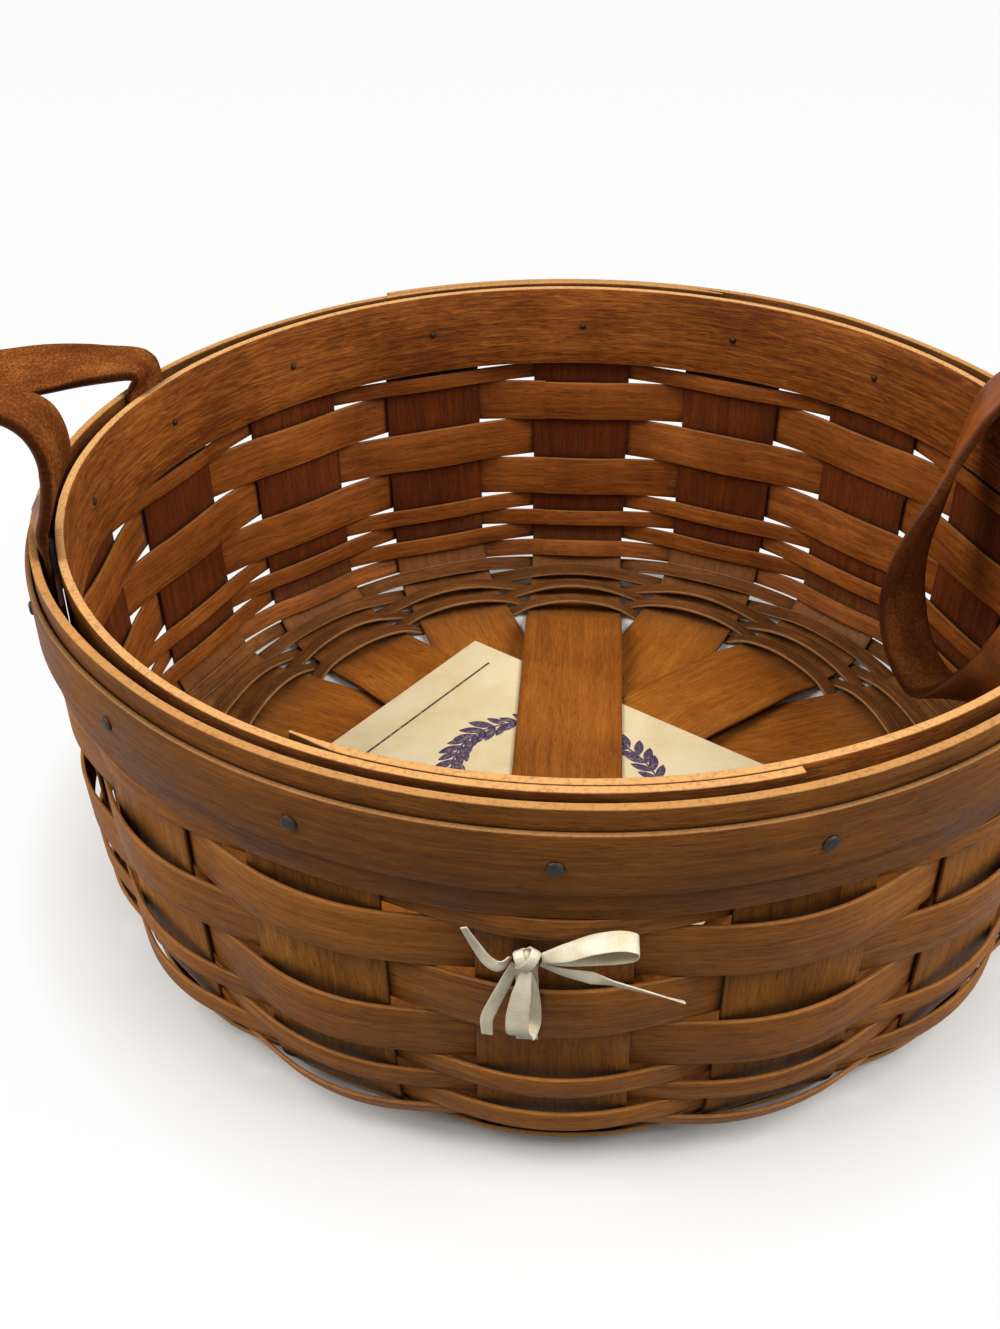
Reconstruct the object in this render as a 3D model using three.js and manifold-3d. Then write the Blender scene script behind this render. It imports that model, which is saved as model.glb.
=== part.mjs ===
// A round woven splint basket with two leather strap handles.
// Millimetres, +Z up. The basket stands on the table at z = 0 and its axis is Z.
// Bearings are measured from the back (+Y) towards the right (+X).

import * as THREE from "three";
import { mergeVertices } from "three/addons/utils/BufferGeometryUtils.js";
import Module from "manifold-3d";

const wasm = await Module();
wasm.setup();

// Overall sizes
const RIM_HEIGHT = 102; // table to the top of both rim bands
const RIM_DIAMETER = 254; // over the outer band, without the trim strip
const CLEARANCE = 0.3; // between pieces that lie against each other
const STACK_GAP = 0.15; // between flat splints where they cross

// Splints, each a rim-to-rim strip that makes two uprights
const SPLINT_COUNT = 8;
const SPLINT_WIDTH = 30.5;
const SPLINT_THICKNESS = 1;
const SPLINT_TOP_DROP = 4; // from the rim top down to the cut ends
const CORNER_RADIUS = 15; // where the wall turns into the base
const WALL_TAPER = 2.3; // how much nearer the axis the wall stands at that corner
const TOP_SPLINT_FALL = 16; // the length in which the top splint comes down off the stack

// Weavers, listed from the rim down
const WEAVER_THICKNESS = 1;
const TOP_ROW_WIDTH = 5; // what shows below the bands
const WIDE_ROW_WIDTH = 13;
const NARROW_ROW_WIDTH = 5.4;
const NARROW_ROW_COUNT = 4;
const CORNER_ROWS_PART = 0.4; // how far round the corner the narrow rows go
const BASE_RING_WIDTH = 4.4;
const ROW_SPACE = 0.3; // the least that is left between neighbouring rows
const BASE_SPLINT_GAP = 6.5; // between neighbouring splints at the innermost base ring
const OUTWARD_BOW = 2.4; // how far a weaver stands off the middle of an upright, outside
const INWARD_BOW = 0.4; // and inside
const BASE_ARCH = 3; // and on the base

// Rim
const BAND_THICKNESS = 2;
const INNER_BAND_HEIGHT = 24.6;
const OUTER_BAND_HEIGHT = 26;
const INNER_LAP_LENGTH = 95; // the doubled stretch of the inner band, at the front
const INNER_LAP_BEARING = 182;
const OUTER_LAP_LENGTH = 104; // the doubled stretch of the outer band, at the back
const OUTER_LAP_BEARING = -4;
const LAP_EASE = 84; // the length in which a band steps from one layer to the other
const LAP_END_THICKNESS = 0.6; // the shaved inner end of a band
const TRIM_THICKNESS = 1.4;
const TRIM_TOP_DROP = 4.6; // from the rim top down to the strip
const TRIM_HEIGHT = 14.2;

// Tacks
const TACK_HEAD_DIAMETER = 3.4;
const TACK_HEAD_HEIGHT = 0.8;
const TACK_SHANK_DIAMETER = 1.3;
const TACK_DROP = 12.3; // from the rim top down to the tacks
const TACK_POINT = 0.9; // what comes out of the inner band

// Leather handles
const STRAP_WIDTH = 15;
const STRAP_THICKNESS = 2.8;
const STRAP_END_THICKNESS = 1.2; // pared thin where it lies behind the outer band
const STRAP_SHIFT = 5; // from the middle of its upright towards the middle of the handle
const STRAP_END_DEPTH = 22; // how far an end goes down behind the outer band
const STRAP_RISE = 3.5; // how far a fixed end stands above the rim
const LEFT_LOOP_REACH = 53; // how far outside the rim ends the left loop flops
const LEFT_LOOP_HEIGHT = 28.5; // how far above them it stands
const RIGHT_LOOP_REACH = 28; // how far inside the rim ends the right loop flops
const RIGHT_LOOP_DROP = 68; // how far below them it hangs
const HANDLE_UPRIGHTS = 1; // uprights from the middle of a handle to each of its ends
const BAND_SWELL_EASE = 25; // degrees in which the outer band comes back in beside a handle

// Ribbon bow on the front
const RIBBON_WIDTH = 4.2;
const RIBBON_THICKNESS = 0.4;
const BOW_SIDE = -5; // from the middle of the front upright
const KNOT_RISE = 11.5; // above the upper edge of its weaver
const KNOT_WIDTH = 5.2;
const KNOT_DEPTH = 4;
const KNOT_HEIGHT = 4.8;

// Card under the top splint
const CARD_LENGTH = 122;
const CARD_WIDTH = 82;
const CARD_THICKNESS = 0.4;
const CARD_TURN = -34; // degrees about Z
const CARD_CENTRE = [-3, -5];

// Finishes
const SPLINT_FINISH = { color: 0x8a5426, roughness: 0.6, metalness: 0 };
const WEAVER_FINISH = { color: 0x7d4a22, roughness: 0.6, metalness: 0 };
const BASE_RING_FINISH = { color: 0x5e3d26, roughness: 0.7, metalness: 0 };
const BAND_FINISH = { color: 0x80532a, roughness: 0.55, metalness: 0 };
const TACK_FINISH = { color: 0x4a4a42, roughness: 0.5, metalness: 0.8 };
const LEATHER_FINISH = { color: 0x6e3f22, roughness: 0.75, metalness: 0 };
const RIBBON_FINISH = { color: 0xddd6b8, roughness: 0.4, metalness: 0 };
const CARD_FINISH = { color: 0xe0cfa0, roughness: 0.8, metalness: 0 };

// Values that follow from the sizes above
const UPRIGHT_COUNT = 2 * SPLINT_COUNT;
const UPRIGHT_STEP = 360 / UPRIGHT_COUNT;
const HALF_STEP = THREE.MathUtils.degToRad(UPRIGHT_STEP / 2);
const OUTER_BAND_INSIDE = RIM_DIAMETER / 2 - BAND_THICKNESS;
const UPRIGHT_RADIUS =
  Math.sqrt((OUTER_BAND_INSIDE - CLEARANCE) ** 2 - (SPLINT_WIDTH / 2) ** 2) - SPLINT_THICKNESS / 2;
const LAP_STEP = BAND_THICKNESS + CLEARANCE;
const INNER_BAND_INSIDE =
  UPRIGHT_RADIUS - SPLINT_THICKNESS / 2 - CLEARANCE - BAND_THICKNESS - LAP_STEP;
const CONTACT = SPLINT_THICKNESS / 2 + CLEARANCE + WEAVER_THICKNESS / 2;
const FLOOR_LEVEL = CONTACT + WEAVER_THICKNESS / 2;
const STACK_STEP = SPLINT_THICKNESS + STACK_GAP;
const INNERMOST_RING_RADIUS = (SPLINT_WIDTH + BASE_SPLINT_GAP) / 2 / Math.tan(HALF_STEP);
const BAND_FLOOR = Math.max(INNER_BAND_HEIGHT, OUTER_BAND_HEIGHT);
const STRAP_RADIUS = UPRIGHT_RADIUS + SPLINT_THICKNESS / 2 + CLEARANCE + STRAP_END_THICKNESS / 2;
const STRAP_OUTER_CORNER = Math.hypot(
  STRAP_RADIUS + STRAP_END_THICKNESS / 2,
  Math.abs(STRAP_SHIFT) + STRAP_WIDTH / 2,
);
const BAND_SWELL = STRAP_OUTER_CORNER + CLEARANCE - OUTER_BAND_INSIDE;

const basket = new THREE.Group();

function addPiece(name, geometry, finish) {
  const mesh = new THREE.Mesh(geometry, new THREE.MeshStandardMaterial(finish));
  mesh.name = name;
  basket.add(mesh);
}

// Directions at a bearing: away from the axis, and along the rim
function outward(bearing) {
  const a = THREE.MathUtils.degToRad(bearing);
  return new THREE.Vector3(Math.sin(a), Math.cos(a), 0);
}

function along(bearing) {
  const a = THREE.MathUtils.degToRad(bearing);
  return new THREE.Vector3(Math.cos(a), -Math.sin(a), 0);
}

function degreesFor(length, radius) {
  return THREE.MathUtils.radToDeg(length / radius);
}

function smoothStep(x) {
  return THREE.MathUtils.smoothstep(x, 0, 1);
}

// Turns a geometry inside out if its faces point in
function facingOut(geometry) {
  const p = geometry.getAttribute("position");
  const index = geometry.getIndex();
  const [a, b, c] = [new THREE.Vector3(), new THREE.Vector3(), new THREE.Vector3()];
  let volume = 0;
  for (let i = 0; i < index.count; i += 3) {
    a.fromBufferAttribute(p, index.getX(i));
    b.fromBufferAttribute(p, index.getX(i + 1));
    c.fromBufferAttribute(p, index.getX(i + 2));
    volume += a.dot(b.cross(c));
  }
  if (volume < 0) {
    for (let i = 0; i < index.count; i += 3) {
      const second = index.getX(i + 1);
      index.setX(i + 1, index.getX(i + 2));
      index.setX(i + 2, second);
    }
  }
  return geometry;
}

// A solid through a row of sections, each a list of the same number of corners
function sweep(sections, closed = false) {
  const sides = sections[0].length;
  const points = sections.flat().flatMap((corner) => corner.toArray());
  const faces = [];
  const spans = closed ? sections.length : sections.length - 1;
  for (let i = 0; i < spans; i++) {
    const here = i * sides;
    const next = ((i + 1) % sections.length) * sides;
    for (let j = 0; j < sides; j++) {
      const k = (j + 1) % sides;
      faces.push(here + j, next + j, next + k, here + j, next + k, here + k);
    }
  }
  if (!closed) {
    const last = (sections.length - 1) * sides;
    for (let j = 1; j < sides - 1; j++) {
      faces.push(0, j, j + 1, last, last + j + 1, last + j);
    }
  }
  const geometry = new THREE.BufferGeometry();
  geometry.setAttribute("position", new THREE.Float32BufferAttribute(points, 3));
  geometry.setIndex(faces);
  return facingOut(geometry);
}

// A flat strip's section: its corners round a point, given its two directions
function stripSection(point, wide, width, thick, thickness) {
  const corner = (i, j) =>
    point
      .clone()
      .addScaledVector(wide, (i * width) / 2)
      .addScaledVector(thick, (j * thickness) / 2);
  return [corner(-1, -1), corner(1, -1), corner(1, 1), corner(-1, 1)];
}

function toSolid(geometry) {
  const bare = new THREE.BufferGeometry();
  bare.setAttribute("position", geometry.getAttribute("position"));
  bare.setIndex(geometry.getIndex());
  const merged = mergeVertices(bare, 1e-4);
  return new wasm.Manifold(
    new wasm.Mesh({
      numProp: 3,
      vertProperties: new Float32Array(merged.getAttribute("position").array),
      triVerts: new Uint32Array(merged.getIndex().array),
    }),
  );
}

// Cuts holes, which are geometries too, out of a geometry
function pierced(geometry, holes) {
  let solid = toSolid(geometry);
  for (const hole of holes) {
    solid = solid.subtract(toSolid(hole));
  }
  const mesh = solid.getMesh();
  const result = new THREE.BufferGeometry();
  result.setAttribute("position", new THREE.Float32BufferAttribute(mesh.vertProperties, 3));
  result.setIndex(Array.from(mesh.triVerts));
  return result;
}

// The wall's middle surface as a line from the rim top, down, round the corner and in to the axis
function wallProfile() {
  const straight = BAND_FLOOR + OUTWARD_BOW;
  const cornerX = UPRIGHT_RADIUS - WALL_TAPER - CORNER_RADIUS;
  const cornerZ = FLOOR_LEVEL + CORNER_RADIUS;
  const points = [new THREE.Vector2(UPRIGHT_RADIUS, RIM_HEIGHT)];
  const steps = 24;
  for (let i = 0; i <= steps; i++) {
    const down = i / steps;
    const inward = WALL_TAPER * (1 - Math.cos((down * Math.PI) / 2));
    const z = THREE.MathUtils.lerp(RIM_HEIGHT - straight, cornerZ, down);
    points.push(new THREE.Vector2(UPRIGHT_RADIUS - inward, z));
  }
  for (let i = 1; i <= steps; i++) {
    const turn = (i / steps) * (Math.PI / 2);
    const x = cornerX + CORNER_RADIUS * Math.cos(turn);
    points.push(new THREE.Vector2(x, cornerZ - CORNER_RADIUS * Math.sin(turn)));
  }
  points.push(new THREE.Vector2(0, FLOOR_LEVEL));
  const lengths = [0];
  for (let i = 1; i < points.length; i++) {
    lengths.push(lengths[i - 1] + points[i].distanceTo(points[i - 1]));
  }
  return { points, lengths, straight, cornerX };
}

const profile = wallProfile();
const PROFILE_LENGTH = profile.lengths.at(-1);

function profilePoint(length) {
  let i = 1;
  while (i < profile.lengths.length - 1 && profile.lengths[i] < length) {
    i++;
  }
  const share = (length - profile.lengths[i - 1]) / (profile.lengths[i] - profile.lengths[i - 1]);
  return profile.points[i - 1].clone().lerp(profile.points[i], share);
}

// The direction out of the basket at a place on the profile
function profileNormal(length) {
  const run = profilePoint(length + 1).sub(profilePoint(length - 1)).normalize();
  return new THREE.Vector2(-run.y, run.x);
}

// Splints

// The order from the bottom up, chosen so that neighbours are well apart in the stack
function stackLevel(splint) {
  const pairs = SPLINT_COUNT / 2;
  const fromTop = splint % 2 === 0 ? splint / 2 : pairs + (splint - 1) / 2;
  return SPLINT_COUNT - 1 - fromTop;
}

const TOP_SPLINT = 0;
const CARD_LEVEL = (SPLINT_COUNT - 1) * STACK_STEP;
const RAMP_START = INNERMOST_RING_RADIUS - BASE_RING_WIDTH / 2 - CLEARANCE;

// Where the middle of a splint runs on the base, from the foot of the ramp to the axis
function basePath(splint) {
  const half = SPLINT_WIDTH / 2;
  if (splint === TOP_SPLINT) {
    const level = CARD_LEVEL + CARD_THICKNESS + STACK_GAP + SPLINT_THICKNESS / 2;
    const slope = [0.25, 0.5, 0.75, 1].map(
      (share) =>
        new THREE.Vector2(
          RAMP_START - share * TOP_SPLINT_FALL,
          THREE.MathUtils.lerp(FLOOR_LEVEL, level, smoothStep(share)),
        ),
    );
    return [new THREE.Vector2(RAMP_START, FLOOR_LEVEL), ...slope];
  }
  const level = stackLevel(splint) * STACK_STEP + SPLINT_THICKNESS / 2;
  const neighboursPart = half / Math.sin(HALF_STEP) + SPLINT_THICKNESS;
  const nextButOnePart = half / Math.sin(2 * HALF_STEP) + 4 * SPLINT_THICKNESS;
  const shareAtNeighbours = 0.45;
  const middle = THREE.MathUtils.lerp(FLOOR_LEVEL, level, shareAtNeighbours);
  return [
    new THREE.Vector2(RAMP_START, FLOOR_LEVEL),
    new THREE.Vector2(neighboursPart, middle),
    new THREE.Vector2(nextButOnePart, level),
  ];
}

// The splint's path from its cut end at the rim to the axis, in its own upright plane
function splintHalf(splint) {
  const wallSteps = 5;
  const cornerSteps = 6;
  const cornerStart = PROFILE_LENGTH - profile.cornerX - (CORNER_RADIUS * Math.PI) / 2;
  const floorStart = PROFILE_LENGTH - profile.cornerX;
  const places = [SPLINT_TOP_DROP];
  for (let i = 0; i < wallSteps; i++) {
    places.push(THREE.MathUtils.lerp(profile.straight, cornerStart, i / wallSteps));
  }
  for (let i = 0; i <= cornerSteps; i++) {
    places.push(THREE.MathUtils.lerp(cornerStart, floorStart, i / cornerSteps));
  }
  return [...places.map(profilePoint), ...basePath(splint)];
}

function splintGeometry(splint) {
  const half = splintHalf(splint);
  const mirrored = half.map((p) => new THREE.Vector2(-p.x, p.y)).reverse();
  const path = [...half, ...mirrored];
  const bearing = splint * UPRIGHT_STEP;
  const out = outward(bearing);
  const wide = along(bearing);
  const sections = path.map((p, i) => {
    const before = path[Math.max(i - 1, 0)];
    const after = path[Math.min(i + 1, path.length - 1)];
    const run = after.clone().sub(before).normalize();
    const point = out.clone().multiplyScalar(p.x).setZ(p.y);
    const thick = out.clone().multiplyScalar(-run.y).setZ(run.x);
    return stripSection(point, wide, SPLINT_WIDTH, thick, SPLINT_THICKNESS);
  });
  return sweep(sections);
}

// Weavers

// Places rows on a stretch of the profile, with even gaps between them
function spreadRows(rows, start, gap) {
  let next = start;
  for (const row of rows) {
    row.start = next;
    row.end = next + row.width;
    next = row.end + gap;
  }
}

// Every weaver from the rim down: its name, width and whether it passes outside the even uprights
function weaverList() {
  const wallStart = BAND_FLOOR + CLEARANCE;
  const cornerLength = (CORNER_RADIUS * Math.PI) / 2;
  const wallEnd = PROFILE_LENGTH - profile.cornerX - cornerLength * (1 - CORNER_ROWS_PART);
  const otherRows = TOP_ROW_WIDTH + NARROW_ROW_COUNT * (NARROW_ROW_WIDTH + ROW_SPACE);
  const wideRows = Math.floor((wallEnd - wallStart - otherRows) / (WIDE_ROW_WIDTH + ROW_SPACE));
  const wall = [{ name: "weaver_top", width: TOP_ROW_WIDTH }];
  for (let i = 1; i <= wideRows; i++) {
    wall.push({ name: `weaver_wide_${i}`, width: WIDE_ROW_WIDTH });
  }
  for (let i = 1; i <= NARROW_ROW_COUNT; i++) {
    wall.push({ name: `weaver_narrow_${i}`, width: NARROW_ROW_WIDTH });
  }
  const wallUsed = wall.reduce((sum, row) => sum + row.width, 0);
  spreadRows(wall, wallStart, (wallEnd - wallStart - wallUsed) / (wall.length - 1));

  const baseLength = PROFILE_LENGTH - INNERMOST_RING_RADIUS + BASE_RING_WIDTH / 2 - wallEnd;
  const baseRings = Math.floor(baseLength / (BASE_RING_WIDTH + ROW_SPACE));
  const base = [];
  for (let i = 1; i <= baseRings; i++) {
    base.push({ name: `base_ring_${i}`, width: BASE_RING_WIDTH });
  }
  const baseGap = baseLength / baseRings - BASE_RING_WIDTH;
  spreadRows(base, wallEnd + baseGap, baseGap);
  return [...wall, ...base].map((row, i) => ({ ...row, outside: i % 2 === 0 }));
}

// How far a weaver's middle stands from the profile, at a share of the upright's half width
function weaverOffset(outside, normal, share) {
  const rounded = 1 - share * share;
  if (outside) {
    return CONTACT + OUTWARD_BOW * Math.max(normal.x, 0) * rounded;
  }
  const bow = THREE.MathUtils.lerp(INWARD_BOW, BASE_ARCH, Math.max(-normal.y, 0));
  return -CONTACT - bow * rounded;
}

// A ring that passes inside one upright and outside the next
function weaverGeometry(row) {
  const reach = SPLINT_WIDTH / 2 + CLEARANCE;
  const shares = row.width > NARROW_ROW_WIDTH ? [-1, -0.5, 0, 0.5, 1] : [-1, 0, 1];
  const edges = [row.start, row.end].map((length) => ({
    point: profilePoint(length),
    normal: profileNormal(length),
  }));
  const sections = [];
  for (let upright = 0; upright < UPRIGHT_COUNT; upright++) {
    const outside = row.outside === (upright % 2 === 0);
    const out = outward(upright * UPRIGHT_STEP);
    const side = along(upright * UPRIGHT_STEP);
    for (const share of shares) {
      const corner = ({ point, normal }, face) => {
        const offset = weaverOffset(outside, normal, share) + (face * WEAVER_THICKNESS) / 2;
        const place = point.clone().addScaledVector(normal, offset);
        return out
          .clone()
          .multiplyScalar(place.x)
          .addScaledVector(side, share * reach)
          .setZ(place.y);
      };
      const [upper, lower] = edges;
      sections.push([corner(upper, -1), corner(lower, -1), corner(lower, 1), corner(upper, 1)]);
    }
  }
  return sweep(sections, true);
}

// Rim bands

const BAND_STEP = UPRIGHT_STEP / 4;

// How far the outer band stands out where the strap ends lie behind it
function handleSwell(bearing) {
  const fromSide = Math.abs(Math.abs(THREE.MathUtils.euclideanModulo(bearing + 180, 360) - 180) - 90);
  const edge = HANDLE_UPRIGHTS * UPRIGHT_STEP + degreesFor(STRAP_WIDTH / 4, STRAP_RADIUS);
  return BAND_SWELL * (1 - smoothStep((fromSide - edge) / BAND_SWELL_EASE));
}

// A hoop whose start overlaps the outside of its end, with the end shaved thin. Either its start
// steps out over its end, or its end steps in under its start.
function lappedBand({ inside, height, lapLength, lapBearing, swell, endStepsIn }) {
  const lap = degreesFor(lapLength, inside);
  const ease = degreesFor(LAP_EASE, inside);
  const start = lapBearing - lap / 2;
  const finish = start + 360 + lap;
  const stepStart = endStepsIn ? finish - lap - ease : start + lap;
  const shave = degreesFor(height / 2, inside);
  const bearings = [start];
  for (let b = Math.ceil(start / BAND_STEP) * BAND_STEP; b < finish; b += BAND_STEP) {
    if (b - start > BAND_STEP / 4 && finish - b > BAND_STEP / 4) {
      bearings.push(b);
    }
  }
  bearings.push(finish);
  const sections = bearings.map((bearing) => {
    const lift = LAP_STEP * (1 - smoothStep((bearing - stepStart) / ease));
    const thin = smoothStep((bearing - finish + shave) / shave);
    const thickness = THREE.MathUtils.lerp(BAND_THICKNESS, LAP_END_THICKNESS, thin);
    const radius = inside + lift + swell(bearing);
    const out = outward(bearing);
    const corner = (r, z) => out.clone().multiplyScalar(r).setZ(z);
    return [
      corner(radius, RIM_HEIGHT),
      corner(radius + thickness, RIM_HEIGHT),
      corner(radius + thickness, RIM_HEIGHT - height),
      corner(radius, RIM_HEIGHT - height),
    ];
  });
  return sweep(sections);
}

// How far from the axis the innermost layer of the inner band begins
function innerBandInside(bearing) {
  const lap = degreesFor(INNER_LAP_LENGTH, INNER_BAND_INSIDE);
  const ease = degreesFor(LAP_EASE, INNER_BAND_INSIDE);
  const fromLap = THREE.MathUtils.euclideanModulo(bearing - INNER_LAP_BEARING + 180, 360) - 180;
  const stepped = fromLap > lap / 2 ? 0 : smoothStep((fromLap + lap / 2 + ease) / ease);
  return INNER_BAND_INSIDE + LAP_STEP * (1 - stepped);
}

// The outside of the outer band, which the trim strip follows over the lap and past its end
function outerBandOutside(bearing) {
  const lap = degreesFor(OUTER_LAP_LENGTH, OUTER_BAND_INSIDE);
  const ease = degreesFor(LAP_EASE, OUTER_BAND_INSIDE);
  const fromLap = THREE.MathUtils.euclideanModulo(bearing - OUTER_LAP_BEARING + 180, 360) - 180;
  const past = fromLap > 0 ? (fromLap - lap / 2) / ease : (-fromLap - lap / 2 - BAND_STEP) / BAND_STEP;
  const lift = LAP_STEP * (1 - smoothStep(past));
  return OUTER_BAND_INSIDE + BAND_THICKNESS + handleSwell(bearing) + lift;
}

function trimInside(bearing) {
  return outerBandOutside(bearing) + CLEARANCE;
}

function trimGeometry() {
  const top = RIM_HEIGHT - TRIM_TOP_DROP;
  const sections = [];
  for (let bearing = 0; bearing < 360; bearing += BAND_STEP) {
    const out = outward(bearing);
    const corner = (r, z) => out.clone().multiplyScalar(r).setZ(z);
    const radius = trimInside(bearing);
    sections.push([
      corner(radius, top),
      corner(radius + TRIM_THICKNESS, top),
      corner(radius + TRIM_THICKNESS, top - TRIM_HEIGHT),
      corner(radius, top - TRIM_HEIGHT),
    ]);
  }
  return sweep(sections, true);
}

// Tacks

const TACK_SIDES = 6;

// Places a geometry made along Z on a tack's line, pointing out of the basket
function onTackLine(geometry, bearing, radius) {
  const out = outward(bearing);
  const turn = new THREE.Quaternion().setFromUnitVectors(new THREE.Vector3(0, 0, 1), out);
  geometry.applyQuaternion(turn);
  const place = out.multiplyScalar(radius).setZ(RIM_HEIGHT - TACK_DROP);
  return geometry.translate(place.x, place.y, place.z);
}

function tackGeometry(bearing) {
  const seat = trimInside(bearing) + TRIM_THICKNESS + CLEARANCE / 2;
  const length = seat - innerBandInside(bearing) + TACK_POINT;
  const shank = TACK_SHANK_DIAMETER / 2;
  const head = TACK_HEAD_DIAMETER / 2;
  const outline = [
    new THREE.Vector2(0, -length),
    new THREE.Vector2(shank, TACK_POINT - length),
    new THREE.Vector2(shank, 0),
    new THREE.Vector2(head, 0),
    new THREE.Vector2(head * 0.7, TACK_HEAD_HEIGHT * 0.7),
    new THREE.Vector2(0, TACK_HEAD_HEIGHT),
  ];
  const lathe = new THREE.LatheGeometry(outline, TACK_SIDES).rotateX(Math.PI / 2);
  lathe.deleteAttribute("normal");
  lathe.deleteAttribute("uv");
  const merged = dropFlatFaces(mergeVertices(lathe, 1e-4));
  return onTackLine(facingOut(merged), bearing, seat);
}

// Leaves out the faces that a lathe makes with no area at its axis
function dropFlatFaces(geometry) {
  const index = geometry.getIndex();
  const kept = [];
  for (let i = 0; i < index.count; i += 3) {
    const face = [index.getX(i), index.getX(i + 1), index.getX(i + 2)];
    if (new Set(face).size === 3) {
      kept.push(...face);
    }
  }
  geometry.setIndex(kept);
  return geometry;
}

// The hole that a tack needs in everything from the trim strip to the inner band
function tackHole(bearing) {
  const from = INNER_BAND_INSIDE - 2 * BAND_THICKNESS;
  const to = trimInside(bearing) + 2 * TRIM_THICKNESS;
  const radius = TACK_SHANK_DIAMETER / 2 + CLEARANCE;
  const hole = new THREE.CylinderGeometry(radius, radius, to - from, TACK_SIDES).rotateX(Math.PI / 2);
  hole.deleteAttribute("normal");
  hole.deleteAttribute("uv");
  return onTackLine(hole, bearing, (from + to) / 2);
}

const tackBearings = Array.from({ length: UPRIGHT_COUNT }, (_, i) => i * UPRIGHT_STEP);
const tackHoles = tackBearings.map(tackHole);

// Handles

// The middle of a strap end, at the rim: side is -1 on the left and 1 on the right, end is -1 at
// the front and 1 at the back
function strapPlace(side, end) {
  const bearing = side * (90 - end * HANDLE_UPRIGHTS * UPRIGHT_STEP);
  const toMiddle = along(bearing).multiplyScalar(side * end * STRAP_SHIFT);
  return outward(bearing).multiplyScalar(STRAP_RADIUS).add(toMiddle);
}

const HINGE_X = strapPlace(1, 1).x;
const LEG_Y = strapPlace(1, 1).y;
const HINGE_Z = RIM_HEIGHT + STRAP_RISE + CLEARANCE + STRAP_THICKNESS / 2;

// A fixed end: flat against its upright below the rim, turned square to the hinge above it
function strapEndGeometry(side, end) {
  const bearing = side * (90 - end * HANDLE_UPRIGHTS * UPRIGHT_STEP);
  const place = strapPlace(side, end);
  const below = { wide: along(bearing), thick: outward(bearing), thickness: STRAP_END_THICKNESS };
  const above = {
    wide: new THREE.Vector3(0, -side, 0),
    thick: new THREE.Vector3(side, 0, 0),
    thickness: STRAP_THICKNESS,
  };
  const levels = [
    { z: RIM_HEIGHT - STRAP_END_DEPTH, ...below },
    { z: RIM_HEIGHT + CLEARANCE, ...below },
    { z: RIM_HEIGHT + STRAP_RISE, ...above },
  ];
  const sections = levels.map(({ z, wide, thick, thickness }) =>
    stripSection(place.clone().setZ(z), wide, STRAP_WIDTH, thick, thickness),
  );
  return sweep(sections);
}

// The free loop of a strap, from its front end to its back end. Each stop gives how far it lies
// outwards from the hinge line and above it, as shares of the loop's reach and height, how far
// along it as a share of the distance from the middle to an end, and where the width points.
function strapLoopGeometry(side, stops, reach, height) {
  const places = stops.map(
    ({ out, up, share }) =>
      new THREE.Vector3(side * (HINGE_X + out * reach), share * LEG_Y, HINGE_Z + up * height),
  );
  const curve = new THREE.CatmullRomCurve3(places, false, "centripetal");
  const widths = stops.map(({ wide }) => new THREE.Vector3(side * wide[0], wide[1], wide[2]));
  const spans = stops.length - 1;
  const stepsPerSpan = 3;
  const sections = [];
  const addSection = (point, run, wide, thickness) => {
    const square = wide.clone().addScaledVector(run, -wide.dot(run)).normalize();
    const thick = run.clone().cross(square);
    sections.push(stripSection(point, square, STRAP_WIDTH, thick, thickness));
  };
  // A round nose about the hinge line at each end
  const noses = [0.15, 0.5, 0.8].map((share) => ({
    back: (STRAP_THICKNESS / 2) * (1 - share),
    thickness: STRAP_THICKNESS * Math.sqrt(1 - (1 - share) ** 2),
  }));
  const startRun = curve.getTangent(0);
  for (const { back, thickness } of noses) {
    const point = places[0].clone().addScaledVector(startRun, -back);
    addSection(point, startRun, widths[0], thickness);
  }
  for (let i = 0; i <= spans * stepsPerSpan; i++) {
    const t = i / (spans * stepsPerSpan);
    const stop = Math.min(Math.floor(i / stepsPerSpan), spans - 1);
    const wide = widths[stop].clone().lerp(widths[stop + 1], i / stepsPerSpan - stop);
    addSection(curve.getPoint(t), curve.getTangent(t), wide, STRAP_THICKNESS);
  }
  const endRun = curve.getTangent(1);
  for (const { back, thickness } of noses.reverse()) {
    const point = places.at(-1).clone().addScaledVector(endRun, back);
    addSection(point, endRun, widths.at(-1), thickness);
  }
  return sweep(sections);
}

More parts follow.
